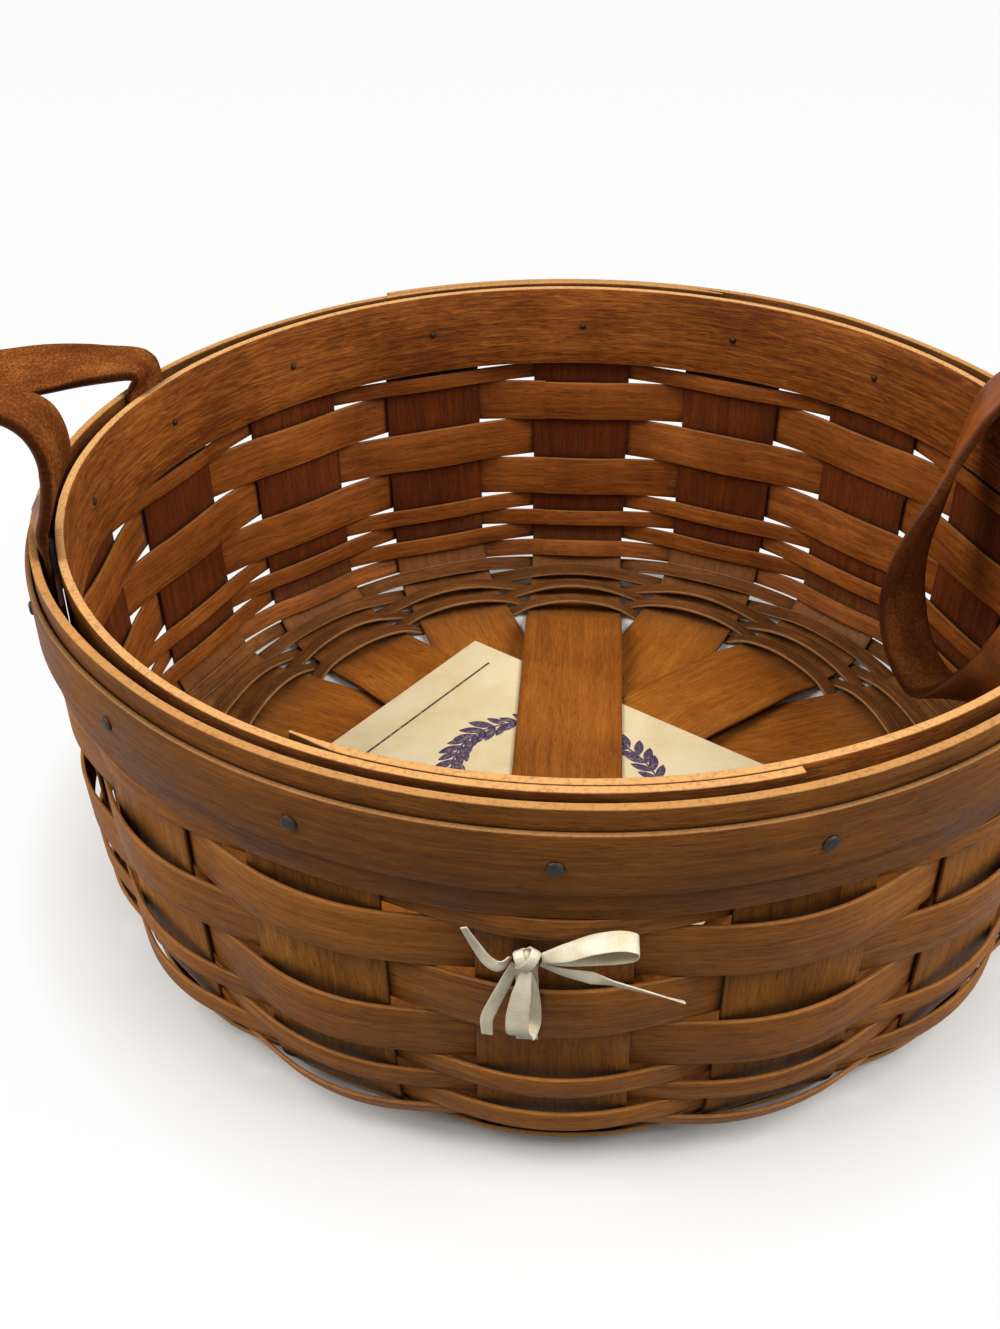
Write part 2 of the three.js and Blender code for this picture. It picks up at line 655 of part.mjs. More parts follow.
// The left strap's front leg stands up from the rim and turns outwards, its back leg lies on the rim
const LEFT_LOOP = [
  { out: 0, up: 0, share: -1, wide: [0, -1, 0] },
  { out: -0.06, up: 0.228, share: -1, wide: [0, -1, 0] },
  { out: -0.117, up: 0.544, share: -1, wide: [0, -1, 0] },
  { out: -0.113, up: 0.737, share: -1, wide: [0, -1, 0] },
  { out: -0.072, up: 0.888, share: -0.99, wide: [0, -1, 0] },
  { out: 0, up: 0.968, share: -0.98, wide: [0, -1, 0.05] },
  { out: 0.132, up: 1, share: -0.97, wide: [0, -1, 0.1] },
  { out: 0.377, up: 0.965, share: -0.92, wide: [0, -0.95, 0.25] },
  { out: 0.717, up: 0.772, share: -0.76, wide: [0, -0.8, 0.6] },
  { out: 0.943, up: 0.491, share: -0.32, wide: [0, -0.3, 0.95] },
  { out: 1, up: 0.246, share: 0.1, wide: [0, 0.1, 1] },
  { out: 0.925, up: 0.07, share: 0.5, wide: [0, 0.55, 0.85] },
  { out: 0.736, up: -0.018, share: 0.8, wide: [0, 0.75, 0.65] },
  { out: 0.472, up: 0, share: 0.95, wide: [0, 0.85, 0.5] },
  { out: 0.208, up: 0.018, share: 1, wide: [0, 0.97, 0.2] },
  { out: 0, up: 0, share: 1, wide: [0, 1, 0] },
];

// The right strap flops inwards over the inner band and hangs, its width turning edge to the wall
const RIGHT_LOOP = [
  { out: 0, up: 0, share: -1, wide: [0, 1, 0] },
  { out: -0.161, up: 0.001, share: -1, wide: [0, 1, 0] },
  { out: -0.321, up: -0.04, share: -0.99, wide: [0, 1, 0] },
  { out: -0.443, up: -0.224, share: -0.94, wide: [-0.15, 1, 0.1] },
  { out: -0.496, up: -0.488, share: -0.78, wide: [-0.5, 0.8, 0.2] },
  { out: -0.532, up: -0.738, share: -0.51, wide: [-0.75, 0.4, 0.35] },
  { out: -0.639, up: -0.929, share: -0.18, wide: [-0.9, -0.05, 0.15] },
  { out: -0.782, up: -0.996, share: 0.07, wide: [-0.85, -0.4, 0] },
  { out: -0.925, up: -0.944, share: 0.32, wide: [-0.85, -0.45, 0.1] },
  { out: -0.975, up: -0.819, share: 0.58, wide: [-0.85, -0.5, 0.2] },
  { out: -0.889, up: -0.65, share: 0.76, wide: [-0.6, -0.7, 0.4] },
  { out: -0.693, up: -0.459, share: 0.88, wide: [-0.35, -0.85, 0.45] },
  { out: -0.511, up: -0.253, share: 0.96, wide: [-0.15, -0.95, 0.3] },
  { out: -0.332, up: -0.069, share: 0.99, wide: [0, -1, 0] },
  { out: -0.161, up: 0.001, share: 1, wide: [0, -1, 0] },
  { out: 0, up: 0, share: 1, wide: [0, -1, 0] },
];

// Ribbon bow

// A ribbon through places given in ribbon widths from where it starts: across, out of the wall, up
function ribbonGeometry(start, stops, closed = false) {
  const places = stops.map(({ at }) =>
    start.clone().addScaledVector(new THREE.Vector3(at[0], -at[1], at[2]), RIBBON_WIDTH),
  );
  const curve = new THREE.CatmullRomCurve3(places, closed, "centripetal");
  const spans = closed ? stops.length : stops.length - 1;
  const stepsPerSpan = 3;
  const count = spans * stepsPerSpan;
  const sections = [];
  for (let i = 0; i < (closed ? count : count + 1); i++) {
    const stop = Math.min(Math.floor(i / stepsPerSpan), spans - 1);
    const here = stops[stop];
    const next = stops[(stop + 1) % stops.length];
    const share = i / stepsPerSpan - stop;
    const run = curve.getTangent(i / count);
    const wide = new THREE.Vector3(here.wide[0], -here.wide[1], here.wide[2]);
    wide.lerp(new THREE.Vector3(next.wide[0], -next.wide[1], next.wide[2]), share);
    wide.addScaledVector(run, -wide.dot(run)).normalize();
    const width = RIBBON_WIDTH * THREE.MathUtils.lerp(here.fold ?? 1, next.fold ?? 1, share);
    const thick = run.clone().cross(wide);
    sections.push(stripSection(curve.getPoint(i / count), wide, width, thick, RIBBON_THICKNESS));
  }
  return sweep(sections, closed);
}

// The outline of the turn of ribbon round the weaver, a flat ring pulled up behind the knot
function ribbonTurn(row, top) {
  const upper = profilePoint(row.start);
  const lower = profilePoint(row.end);
  const toFront = CONTACT + OUTWARD_BOW + WEAVER_THICKNESS / 2 + CLEARANCE;
  const toBack = SPLINT_THICKNESS / 2 + CLEARANCE + RIBBON_THICKNESS;
  const bottom = lower.y + profileNormal(row.end).y * toFront - CLEARANCE;
  const ring = (grow) => [
    new THREE.Vector2(lower.x + toBack - grow, bottom - grow),
    new THREE.Vector2(lower.x + toFront + grow, bottom - grow),
    new THREE.Vector2(upper.x + toFront + grow, upper.y),
    new THREE.Vector2(upper.x + toFront + grow, top + grow),
    new THREE.Vector2(upper.x + toFront - CLEARANCE - grow, top + grow),
    new THREE.Vector2(upper.x + toBack - grow, upper.y + CLEARANCE + grow),
  ];
  const shape = new THREE.Shape(ring(RIBBON_THICKNESS));
  shape.holes.push(new THREE.Path(ring(0)));
  return { shape, front: upper.x + toFront + RIBBON_THICKNESS };
}

function addBow(row) {
  const knotZ = profilePoint(row.start).y + KNOT_RISE;
  const turn = ribbonTurn(row, knotZ);
  const ring = new THREE.ExtrudeGeometry(turn.shape, { depth: RIBBON_WIDTH, bevelEnabled: false });
  // The ring's outline is drawn outwards and up, so it turns to stand across the front of the wall
  ring.applyMatrix4(
    new THREE.Matrix4().makeBasis(
      new THREE.Vector3(0, -1, 0),
      new THREE.Vector3(0, 0, 1),
      new THREE.Vector3(-1, 0, 0),
    ),
  );
  ring.translate(BOW_SIDE + RIBBON_WIDTH / 2, 0, 0);
  addPiece("bow_turn", ring, RIBBON_FINISH);

  const middle = new THREE.Vector3(BOW_SIDE, -(turn.front + CLEARANCE + KNOT_DEPTH / 2), knotZ);
  const knot = new THREE.SphereGeometry(1, 10, 8);
  knot.scale(KNOT_WIDTH / 2, KNOT_DEPTH / 2, KNOT_HEIGHT / 2);
  knot.translate(middle.x, middle.y, middle.z);
  addPiece("bow_knot", knot, RIBBON_FINISH);

  const toSide = new THREE.Vector3(KNOT_WIDTH / 2 + CLEARANCE, 0, 0);
  const right = middle.clone().add(toSide);
  const left = middle.clone().sub(toSide);
  const under = middle.clone().setZ(middle.z - KNOT_HEIGHT / 2 - CLEARANCE);
  const rightLoop = [
    { at: [0, 0, 0.14], wide: [0, -0.2, 1], fold: 0.45 },
    { at: [1.1, -0.1, 0.8], wide: [-0.2, -0.3, 0.95], fold: 0.9 },
    { at: [2.2, -0.2, 1.5], wide: [-0.3, -0.3, 0.9] },
    { at: [3.35, -0.15, 1.75], wide: [-0.2, -0.4, 0.9] },
    { at: [4.05, 0.2, 1.45], wide: [-0.2, -0.5, 0.85] },
    { at: [3.6, 0.6, 1.05], wide: [-0.2, -0.5, 0.85] },
    { at: [2.3, 0.75, 0.65], wide: [-0.2, -0.4, 0.9] },
    { at: [1.1, 0.5, 0.3], wide: [-0.1, -0.2, 1], fold: 0.9 },
  ];
  addPiece("bow_loop_right", ribbonGeometry(right, rightLoop, true), RIBBON_FINISH);

  const downLoop = [
    { at: [0, 0.14, 0], wide: [1, 0, 0], fold: 0.5 },
    { at: [-0.2, 0.5, -1.1], wide: [0.95, 0.1, 0], fold: 0.9 },
    { at: [-0.35, 0.75, -2.3], wide: [0.95, 0.15, 0], fold: 1.05 },
    { at: [-0.3, 0.8, -3.2], wide: [0.97, 0.15, 0.05], fold: 1.1 },
    { at: [-0.1, 0.5, -3.6], wide: [1, 0.1, 0.05], fold: 1.1 },
    { at: [0.15, 0.2, -3.2], wide: [1, 0.1, 0.05], fold: 1.05 },
    { at: [0.2, 0.15, -2.3], wide: [1, 0.1, 0] },
    { at: [0.12, 0.1, -1.1], wide: [1, 0.1, 0], fold: 0.9 },
  ];
  addPiece("bow_loop_down", ribbonGeometry(under, downLoop, true), RIBBON_FINISH);

  const leftTail = [
    { at: [-0.02, -0.1, 0.05], wide: [0.5, 0, 0.8], fold: 0.4 },
    { at: [-0.5, 0.1, -0.35], wide: [0.5, -0.3, 0.8], fold: 0.55 },
    { at: [-0.95, 0.2, 0], wide: [0.7, -0.3, 0.6], fold: 0.5 },
    { at: [-1.5, 0.2, 0.95], wide: [0.85, 0.1, 0.4], fold: 0.5 },
    { at: [-2, 0.24, 2.05], wide: [0.9, 0.2, 0.3], fold: 0.5 },
  ];
  addPiece("bow_tail_left", ribbonGeometry(left, leftTail), RIBBON_FINISH);

  const downTail = [
    { at: [0.18, -0.2, -0.45], wide: [0.8, 0, -0.6], fold: 0.4 },
    { at: [-0.25, -0.15, -1.6], wide: [0.9, 0, -0.4], fold: 0.55 },
    { at: [-0.85, -0.1, -3.2], wide: [0.9, 0.1, -0.3], fold: 0.6 },
    { at: [-1.1, 0, -3.9], wide: [0.95, 0.2, -0.1], fold: 0.6 },
    { at: [-1.08, 0.1, -4.76], wide: [0.95, 0.2, 0], fold: 0.55 },
  ];
  addPiece("bow_tail_down", ribbonGeometry(left, downTail), RIBBON_FINISH);

  const rightTail = [
    { at: [-0.07, -0.14, -0.38], wide: [0, 0.3, 1], fold: 0.3 },
    { at: [0.9, 0.05, -0.6], wide: [0, 0.1, 1], fold: 0.5 },
    { at: [2.2, 0.3, -0.65], wide: [0, -0.3, 0.9], fold: 0.6 },
    { at: [3.1, 0.33, -0.85], wide: [0, 0.3, 0.9], fold: 0.45 },
    { at: [4.7, 0.5, -1.2], wide: [0, 0.5, 0.8], fold: 0.4 },
    { at: [6.29, 0.6, -1.6], wide: [0, 0.7, 0.5], fold: 0.45 },
  ];
  addPiece("bow_tail_right", ribbonGeometry(right, rightTail), RIBBON_FINISH);
}

// The whole basket

for (let splint = 0; splint < SPLINT_COUNT; splint++) {
  const holes = [tackHoles[splint], tackHoles[splint + SPLINT_COUNT]];
  addPiece(`splint_${splint + 1}`, pierced(splintGeometry(splint), holes), SPLINT_FINISH);
}

const weavers = weaverList();
for (const row of weavers) {
  const finish = row.name.startsWith("base") ? BASE_RING_FINISH : WEAVER_FINISH;
  addPiece(row.name, weaverGeometry(row), finish);
}

const innerBand = lappedBand({
  inside: INNER_BAND_INSIDE,
  height: INNER_BAND_HEIGHT,
  lapLength: INNER_LAP_LENGTH,
  lapBearing: INNER_LAP_BEARING,
  swell: () => 0,
  endStepsIn: true,
});
addPiece("inner_band", pierced(innerBand, tackHoles), BAND_FINISH);

const outerBand = lappedBand({
  inside: OUTER_BAND_INSIDE,
  height: OUTER_BAND_HEIGHT,
  lapLength: OUTER_LAP_LENGTH,
  lapBearing: OUTER_LAP_BEARING,
  swell: handleSwell,
  endStepsIn: false,
});
addPiece("outer_band", pierced(outerBand, tackHoles), BAND_FINISH);
addPiece("trim_strip", pierced(trimGeometry(), tackHoles), BAND_FINISH);

tackBearings.forEach((bearing, i) => {
  addPiece(`tack_${i + 1}`, tackGeometry(bearing), TACK_FINISH);
});

for (const [side, sideName] of [
  [-1, "left"],
  [1, "right"],
]) {
  for (const [end, endName] of [
    [-1, "front"],
    [1, "back"],
  ]) {
    const geometry = pierced(strapEndGeometry(side, end), tackHoles);
    addPiece(`${sideName}_strap_${endName}_end`, geometry, LEATHER_FINISH);
  }
}
const leftLoop = strapLoopGeometry(-1, LEFT_LOOP, LEFT_LOOP_REACH, LEFT_LOOP_HEIGHT);
addPiece("left_strap_loop", leftLoop, LEATHER_FINISH);
const rightLoop = strapLoopGeometry(1, RIGHT_LOOP, RIGHT_LOOP_REACH, RIGHT_LOOP_DROP);
addPiece("right_strap_loop", rightLoop, LEATHER_FINISH);

addBow(weavers.find((row) => row.name === "weaver_wide_2"));

const card = new THREE.BoxGeometry(CARD_LENGTH, CARD_WIDTH, CARD_THICKNESS);
card.rotateZ(THREE.MathUtils.degToRad(CARD_TURN));
card.translate(CARD_CENTRE[0], CARD_CENTRE[1], CARD_LEVEL + CARD_THICKNESS / 2);
addPiece("paper_card", card, CARD_FINISH);

export default basket;
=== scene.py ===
"""The looks of a round woven splint basket with leather strap handles, a ribbon bow and a card.

Sizes are in millimetres, as in the part's own source, and become metres where a mesh is made.
Bearings are measured from the back (+Y) towards the right (+X).
"""

import math

import bpy
import numpy as np
from mathutils import Matrix, Quaternion, Vector


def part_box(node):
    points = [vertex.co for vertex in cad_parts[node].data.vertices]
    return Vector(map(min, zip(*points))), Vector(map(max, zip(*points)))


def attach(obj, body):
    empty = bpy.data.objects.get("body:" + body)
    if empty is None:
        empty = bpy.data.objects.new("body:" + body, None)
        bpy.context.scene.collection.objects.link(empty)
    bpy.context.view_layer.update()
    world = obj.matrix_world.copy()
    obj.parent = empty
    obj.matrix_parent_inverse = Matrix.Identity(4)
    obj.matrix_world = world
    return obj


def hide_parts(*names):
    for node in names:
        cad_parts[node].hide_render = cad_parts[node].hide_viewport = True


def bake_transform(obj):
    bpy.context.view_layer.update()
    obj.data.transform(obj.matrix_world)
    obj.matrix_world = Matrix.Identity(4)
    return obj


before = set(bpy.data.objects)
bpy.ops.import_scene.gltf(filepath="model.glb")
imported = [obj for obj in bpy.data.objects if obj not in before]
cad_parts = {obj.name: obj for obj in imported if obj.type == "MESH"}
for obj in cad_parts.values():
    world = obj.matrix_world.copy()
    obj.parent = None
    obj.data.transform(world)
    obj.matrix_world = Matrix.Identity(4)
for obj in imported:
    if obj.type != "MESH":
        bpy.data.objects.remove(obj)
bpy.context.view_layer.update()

MM = 0.001

# Sizes of the basket
RIM_HEIGHT = 102
CLEARANCE = 0.3
SPLINT_COUNT = 8
UPRIGHT_COUNT = 2 * SPLINT_COUNT
UPRIGHT_STEP = 360 / UPRIGHT_COUNT
HALF_STEP = math.radians(UPRIGHT_STEP / 2)
SPLINT_WIDTH = 30.5
SPLINT_THICKNESS = 1
SPLINT_TOP_DROP = 4
STACK_GAP = 0.15
CORNER_RADIUS = 15
WALL_TAPER = 2.3
TOP_SPLINT_FALL = 16
WEAVER_THICKNESS = 1
TOP_ROW_WIDTH = 5
WIDE_ROW_WIDTH = 13
NARROW_ROW_WIDTH = 5.4
BASE_RING_WIDTH = 4.4
CORNER_ROWS_PART = 0.4
BASE_SPLINT_GAP = 6.5
OUTWARD_BOW = 2.4
INWARD_BOW = 0.4
BASE_ARCH = 3
BAND_THICKNESS = 2
INNER_BAND_HEIGHT = 24.6
OUTER_BAND_HEIGHT = 26
OUTER_BAND_INSIDE = 125
INNER_LAP_LENGTH = 95
INNER_LAP_BEARING = 182
OUTER_LAP_LENGTH = 104
OUTER_LAP_BEARING = -4
LAP_EASE = 84
LAP_END_THICKNESS = 0.6
TRIM_THICKNESS = 1.4
TRIM_TOP_DROP = 4.6
TRIM_HEIGHT = 14.2
TACK_DROP = 12.3
TACK_HEAD_DIAMETER = 3.4
TACK_HEAD_HEIGHT = 0.8
STRAP_WIDTH = 15
STRAP_THICKNESS = 2.8
STRAP_END_THICKNESS = 1.2
STRAP_SHIFT = 5
STRAP_END_DEPTH = 22
STRAP_RISE = 3.5
LEATHER_LENGTH = 246
BAND_SWELL_EASE = 25
RIBBON_WIDTH = 4.2
RIBBON_THICKNESS = 0.3
BOW_MIDDLE = np.array([-5, -130.2, 68.4])
KNOT_SIZE = (1.8, 1.4, 2)
CARD_SIZE = (122, 82)
CARD_THICKNESS = 0.4
CARD_TURN = -34
CARD_CENTRE = (-3, -5)
INK_THICKNESS = 0.04
RULE_PLACE = 50
RULE_LENGTH = 68
RULE_WIDTH = 0.7
WREATH_SIZE = (62, 50)
STEM_WIDTH = 0.6
LEAF_LENGTH = 7
LEAF_WIDTH = 2.6
LEAF_LEAN = 35

# How far the edges of the strips are rounded
SPLINT_EDGE = 0.3
WEAVER_EDGE = 0.28
BAND_EDGE = 0.3
TRIM_EDGE = 0.4
STRAP_EDGE = 0.7
RIBBON_EDGE = 0.12
TURN_EDGE = 0.1

# Points on the paths, and steps from one stop of a path to the next
WALL_POINTS = 56
FLOOR_POINTS = 36
BAND_POINTS = 260
WEAVER_STEPS = 4
STRAP_STEPS = 6
RIBBON_STEPS = 8
TURN_STEPS = 6
WREATH_STEPS = 96

# The points of a weaver's path that go once round, so that its ends meet at the back upright
ONCE_ROUND = slice(2, -14)

# The camera: place in millimetres, yaw, pitch and roll, focal length and height in pixels
CAMERA_PLACE = (4.18, -323.18, 268.74)
CAMERA_ANGLES = (-4.01, 34.8, -0.51)
FOCAL_LENGTH = 1486.7
PICTURE_HEIGHT = 1329
SENSOR_WIDTH = 36

# Light and floor: the lights' size and aim in metres, the sky's level, the floor in millimetres
LIGHT_SIZE = 0.8
LIGHT_AIM = (0, 0, 0.05)
SKY_LIGHT = 0.18
FLOOR_REACH = 6000
FLOOR_DROP = 0.1

# Values that follow from the sizes
UPRIGHT_OUTSIDE = math.sqrt((OUTER_BAND_INSIDE - CLEARANCE) ** 2 - (SPLINT_WIDTH / 2) ** 2)
UPRIGHT_RADIUS = UPRIGHT_OUTSIDE - SPLINT_THICKNESS / 2
LAP_STEP = BAND_THICKNESS + CLEARANCE
INNER_BAND_INSIDE = UPRIGHT_RADIUS - SPLINT_THICKNESS / 2 - CLEARANCE - BAND_THICKNESS - LAP_STEP
CONTACT = SPLINT_THICKNESS / 2 + CLEARANCE + WEAVER_THICKNESS / 2
FLOOR_LEVEL = CONTACT + WEAVER_THICKNESS / 2
STACK_STEP = SPLINT_THICKNESS + STACK_GAP
CARD_LEVEL = (SPLINT_COUNT - 1) * STACK_STEP
INNERMOST_RING = (SPLINT_WIDTH + BASE_SPLINT_GAP) / 2 / math.tan(HALF_STEP)
RAMP_START = INNERMOST_RING - BASE_RING_WIDTH / 2 - CLEARANCE
STRAP_RADIUS = UPRIGHT_RADIUS + SPLINT_THICKNESS / 2 + CLEARANCE + STRAP_END_THICKNESS / 2
STRAP_CORNER = math.hypot(STRAP_RADIUS + STRAP_END_THICKNESS / 2, STRAP_SHIFT + STRAP_WIDTH / 2)
BAND_SWELL = STRAP_CORNER + CLEARANCE - OUTER_BAND_INSIDE
HINGE_Z = RIM_HEIGHT + STRAP_RISE + CLEARANCE + STRAP_THICKNESS / 2

random = np.random.default_rng(7)


# Small helpers


def linear(hex_colour):
    """The linear RGBA of an sRGB hex colour."""
    parts = [int(hex_colour[i : i + 2], 16) / 255 for i in (1, 3, 5)]
    return [p / 12.92 if p <= 0.04045 else ((p + 0.055) / 1.055) ** 2.4 for p in parts] + [1]


def add(tree, kind, links=None, **settings):
    """Adds a node with its settings, and its inputs as values or as the sockets that feed them."""
    node = tree.nodes.new(kind)
    for name, value in settings.items():
        setattr(node, name, value)
    for key, value in (links or {}).items():
        if isinstance(value, bpy.types.NodeSocket):
            tree.links.new(value, node.inputs[key])
        else:
            node.inputs[key].default_value = value
    return node


def outward(bearing):
    a = math.radians(bearing)
    return np.array([math.sin(a), math.cos(a), 0])


def along(bearing):
    a = math.radians(bearing)
    return np.array([math.cos(a), -math.sin(a), 0])


def smooth_step(x):
    x = np.clip(x, 0, 1)
    return x * x * (3 - 2 * x)


def unit(v):
    v = np.asarray(v, float)
    return v / np.linalg.norm(v, axis=-1, keepdims=True)


def curve_through(stops, steps):
    """Points on a smooth curve through the stops, with that many steps from one to the next."""
    stops = np.asarray(stops, float)
    padded = np.vstack([2 * stops[0] - stops[1], stops, 2 * stops[-1] - stops[-2]])
    points = []
    for a, b, c, d in zip(padded[:-3], padded[1:-2], padded[2:-1], padded[3:]):
        spans = [max(np.linalg.norm(q - p), 1e-6) ** 0.5 for p, q in ((a, b), (b, c), (c, d))]
        t = np.cumsum([0] + spans)
        for x in np.linspace(t[1], t[2], steps, endpoint=False):
            ab = a + (b - a) * (x - t[0]) / (t[1] - t[0])
            bc = b + (c - b) * (x - t[1]) / (t[2] - t[1])
            cd = c + (d - c) * (x - t[2]) / (t[3] - t[2])
            abc = ab + (bc - ab) * (x - t[0]) / (t[2] - t[0])
            bcd = bc + (cd - bc) * (x - t[1]) / (t[3] - t[1])
            points.append(abc + (bcd - abc) * (x - t[1]) / (t[2] - t[1]))
    points.append(stops[-1])
    return np.array(points)


def between_stops(values, steps):
    """Values given at stops, spread over the points of a curve through those stops."""
    values = np.asarray(values, float)
    places = np.arange(len(values))
    at = np.arange((len(values) - 1) * steps + 1) / steps
    if values.ndim == 1:
        return np.interp(at, places, values)
    return np.stack([np.interp(at, places, column) for column in values.T], axis=1)


def tangents(points):
    return unit(np.gradient(points, axis=0))


def wander(count, size, step):
    """A slow random wave along a piece: count values, a new random height every step of them."""
    knots = random.uniform(-size, size, count // step + 4)
    return np.interp(np.arange(count) / step, np.arange(len(knots)), knots)


def new_object(name, data):
    """A new object with its data, linked into the scene."""
    thing = bpy.data.objects.new(name, data)
    bpy.context.scene.collection.objects.link(thing)
    return thing


def mesh_object(name, vertices, faces, material):
    """A plain mesh object with its place in its mesh; the vertices are in millimetres."""
    mesh = bpy.data.meshes.new(name)
    mesh.from_pydata((np.asarray(vertices, float) * MM).tolist(), [], [list(f) for f in faces])
    mesh.materials.append(material)
    for face in mesh.polygons:
        face.use_smooth = True
    return new_object(name, mesh)


# Short ways to add a node, each of which gives the output that is used


def maths(tree, operation, *values):
    return add(tree, "ShaderNodeMath", dict(enumerate(values)), operation=operation).outputs[0]


def times(tree, first, second):
    return maths(tree, "MULTIPLY", first, second)


def scaled(tree, vector, share):
    links = {0: vector, "Scale": share}
    return add(tree, "ShaderNodeVectorMath", links, operation="SCALE").outputs[0]


def part_of(tree, vector, axis):
    """One of a vector's three numbers."""
    return add(tree, "ShaderNodeSeparateXYZ", {0: vector}).outputs[axis]


def named(tree, name, kind="FLOAT"):
    """What a geometry carries on its points under a name."""
    return add(tree, "GeometryNodeInputNamedAttribute", {"Name": name}, data_type=kind).outputs[0]


def stored(tree, geometry, name, value, kind="FLOAT"):
    """The geometry with a value put on its points under a name."""
    links = {"Geometry": geometry, "Name": name, "Value": value}
    node = add(tree, "GeometryNodeStoreNamedAttribute", links, data_type=kind, domain="POINT")
    return node.outputs[0]


def new_tree(name, inputs, output):
    """A geometry node tree with one geometry output, and the sockets of its inputs."""
    tree = bpy.data.node_groups.new(name, "GeometryNodeTree")
    for label, kind in inputs:
        tree.interface.new_socket(label, in_out="INPUT", socket_type="NodeSocket" + kind)
    tree.interface.new_socket(output, in_out="OUTPUT", socket_type="NodeSocketGeometry")
    return tree, add(tree, "NodeGroupInput").outputs


def end_tree(tree, geometry, material, output):
    """Ends a geometry node tree: copies become real and take the material."""
    real = add(tree, "GeometryNodeRealizeInstances", {"Geometry": geometry}).outputs[0]
    links = {"Geometry": real, "Material": material}
    covered = add(tree, "GeometryNodeSetMaterial", links).outputs[0]
    add(tree, "NodeGroupOutput", {output: covered})


# The strip: a flat length of wood, leather or ribbon, swept along a path


def strip_tree():
    """Sweeps a flat, round-edged section along the object's own line of points.

    The line carries out, the way that the strip's outer face looks, wide, the way across it, and
    fold and shave, the shares of its width and thickness that are missing at each point. The
    result carries grain (along, across, strip number), edge and face for the materials.
    """
    inputs = [("Path", "Geometry"), ("Width", "Float"), ("Thickness", "Float")]
    inputs += [("Edge radius", "Float"), ("Strip number", "Float"), ("Material", "Material")]
    tree, given = new_tree("strip_along_a_path", inputs, "Strip")
    out = named(tree, "out", "FLOAT_VECTOR")
    wide = named(tree, "wide", "FLOAT_VECTOR")
    across = named(tree, "across")
    half_thick = times(tree, given["Thickness"], 0.5)
    half_wide = times(tree, given["Width"], 0.5)
    line = add(tree, "GeometryNodeMeshToCurve", {"Mesh": given["Path"]}).outputs[0]
    facing = {"Curve": line, "Normal": out}
    line = add(tree, "GeometryNodeSetCurveNormal", facing, mode="FREE").outputs[0]
    length = add(tree, "GeometryNodeSplineParameter").outputs["Length"]
    line = stored(tree, line, "along", length)
    size = {"Width": given["Thickness"], "Height": given["Width"]}
    section = add(tree, "GeometryNodeCurvePrimitiveQuadrilateral", size).outputs[0]
    rounding = {"Curve": section, "Count": 2, "Radius": given["Edge radius"], "Limit Radius": True}
    section = add(tree, "GeometryNodeFilletCurve", rounding, mode="POLY").outputs[0]
    section = add(tree, "GeometryNodeSubdivideCurve", {"Curve": section, "Cuts": 2}).outputs[0]
    place = add(tree, "GeometryNodeInputPosition").outputs[0]
    for name, axis, half in (("face", "X", half_thick), ("across", "Y", half_wide)):
        section = stored(tree, section, name, maths(tree, "DIVIDE", part_of(tree, place, axis), half))
    sweep = {"Curve": line, "Profile Curve": section, "Fill Caps": True}
    swept = add(tree, "GeometryNodeCurveToMesh", sweep).outputs[0]
    across_place = times(tree, across, half_wide)
    face_place = times(tree, named(tree, "face"), half_thick)
    inward = scaled(tree, wide, times(tree, across_place, named(tree, "fold")))
    thinner = scaled(tree, out, times(tree, face_place, named(tree, "shave")))
    missing = add(tree, "ShaderNodeVectorMath", {0: inward, 1: thinner}, operation="ADD").outputs[0]
    on_strip = {0: named(tree, "along"), 1: across_place, 2: given["Strip number"]}
    grain = add(tree, "ShaderNodeCombineXYZ", on_strip).outputs[0]
    swept = stored(tree, swept, "grain", grain, "FLOAT_VECTOR")
    swept = stored(tree, swept, "edge", maths(tree, "ABSOLUTE", across))
    move = {"Geometry": swept, "Offset": scaled(tree, missing, -1.0)}
    swept = add(tree, "GeometryNodeSetPosition", move).outputs[0]
    swept = add(tree, "GeometryNodeSetShadeSmooth", {0: swept, "Shade Smooth": True}).outputs[0]
    end_tree(tree, swept, given["Material"], "Strip")
    return tree


def made_real(thing, tree, inputs):
    """Runs a node tree on an object and leaves the result as the object's own plain mesh."""
    modifier = thing.modifiers.new(tree.name, "NODES")
    modifier.node_group = tree
    for item in tree.interface.items_tree:
        if item.in_out == "INPUT" and item.name in inputs:
            modifier[item.identifier] = inputs[item.name]
    bpy.context.view_layer.update()
    evaluated = thing.evaluated_get(bpy.context.evaluated_depsgraph_get())
    mesh = bpy.data.meshes.new_from_object(evaluated)
    thing.modifiers.remove(modifier)
    path = thing.data
    thing.data = mesh
    bpy.data.meshes.remove(path)
    mesh.name = thing.name
    point_outwards(mesh)
    return thing


def point_outwards(mesh):
    """Turns a closed mesh's faces round if they look in."""
    volume = 0
    mesh.calc_loop_triangles()
    for triangle in mesh.loop_triangles:
        a, b, c = (mesh.vertices[i].co for i in triangle.vertices)
        volume += a.dot(b.cross(c))
    if volume < 0:
        mesh.flip_normals()


STRIP_TREE = strip_tree()
strips_made = 0


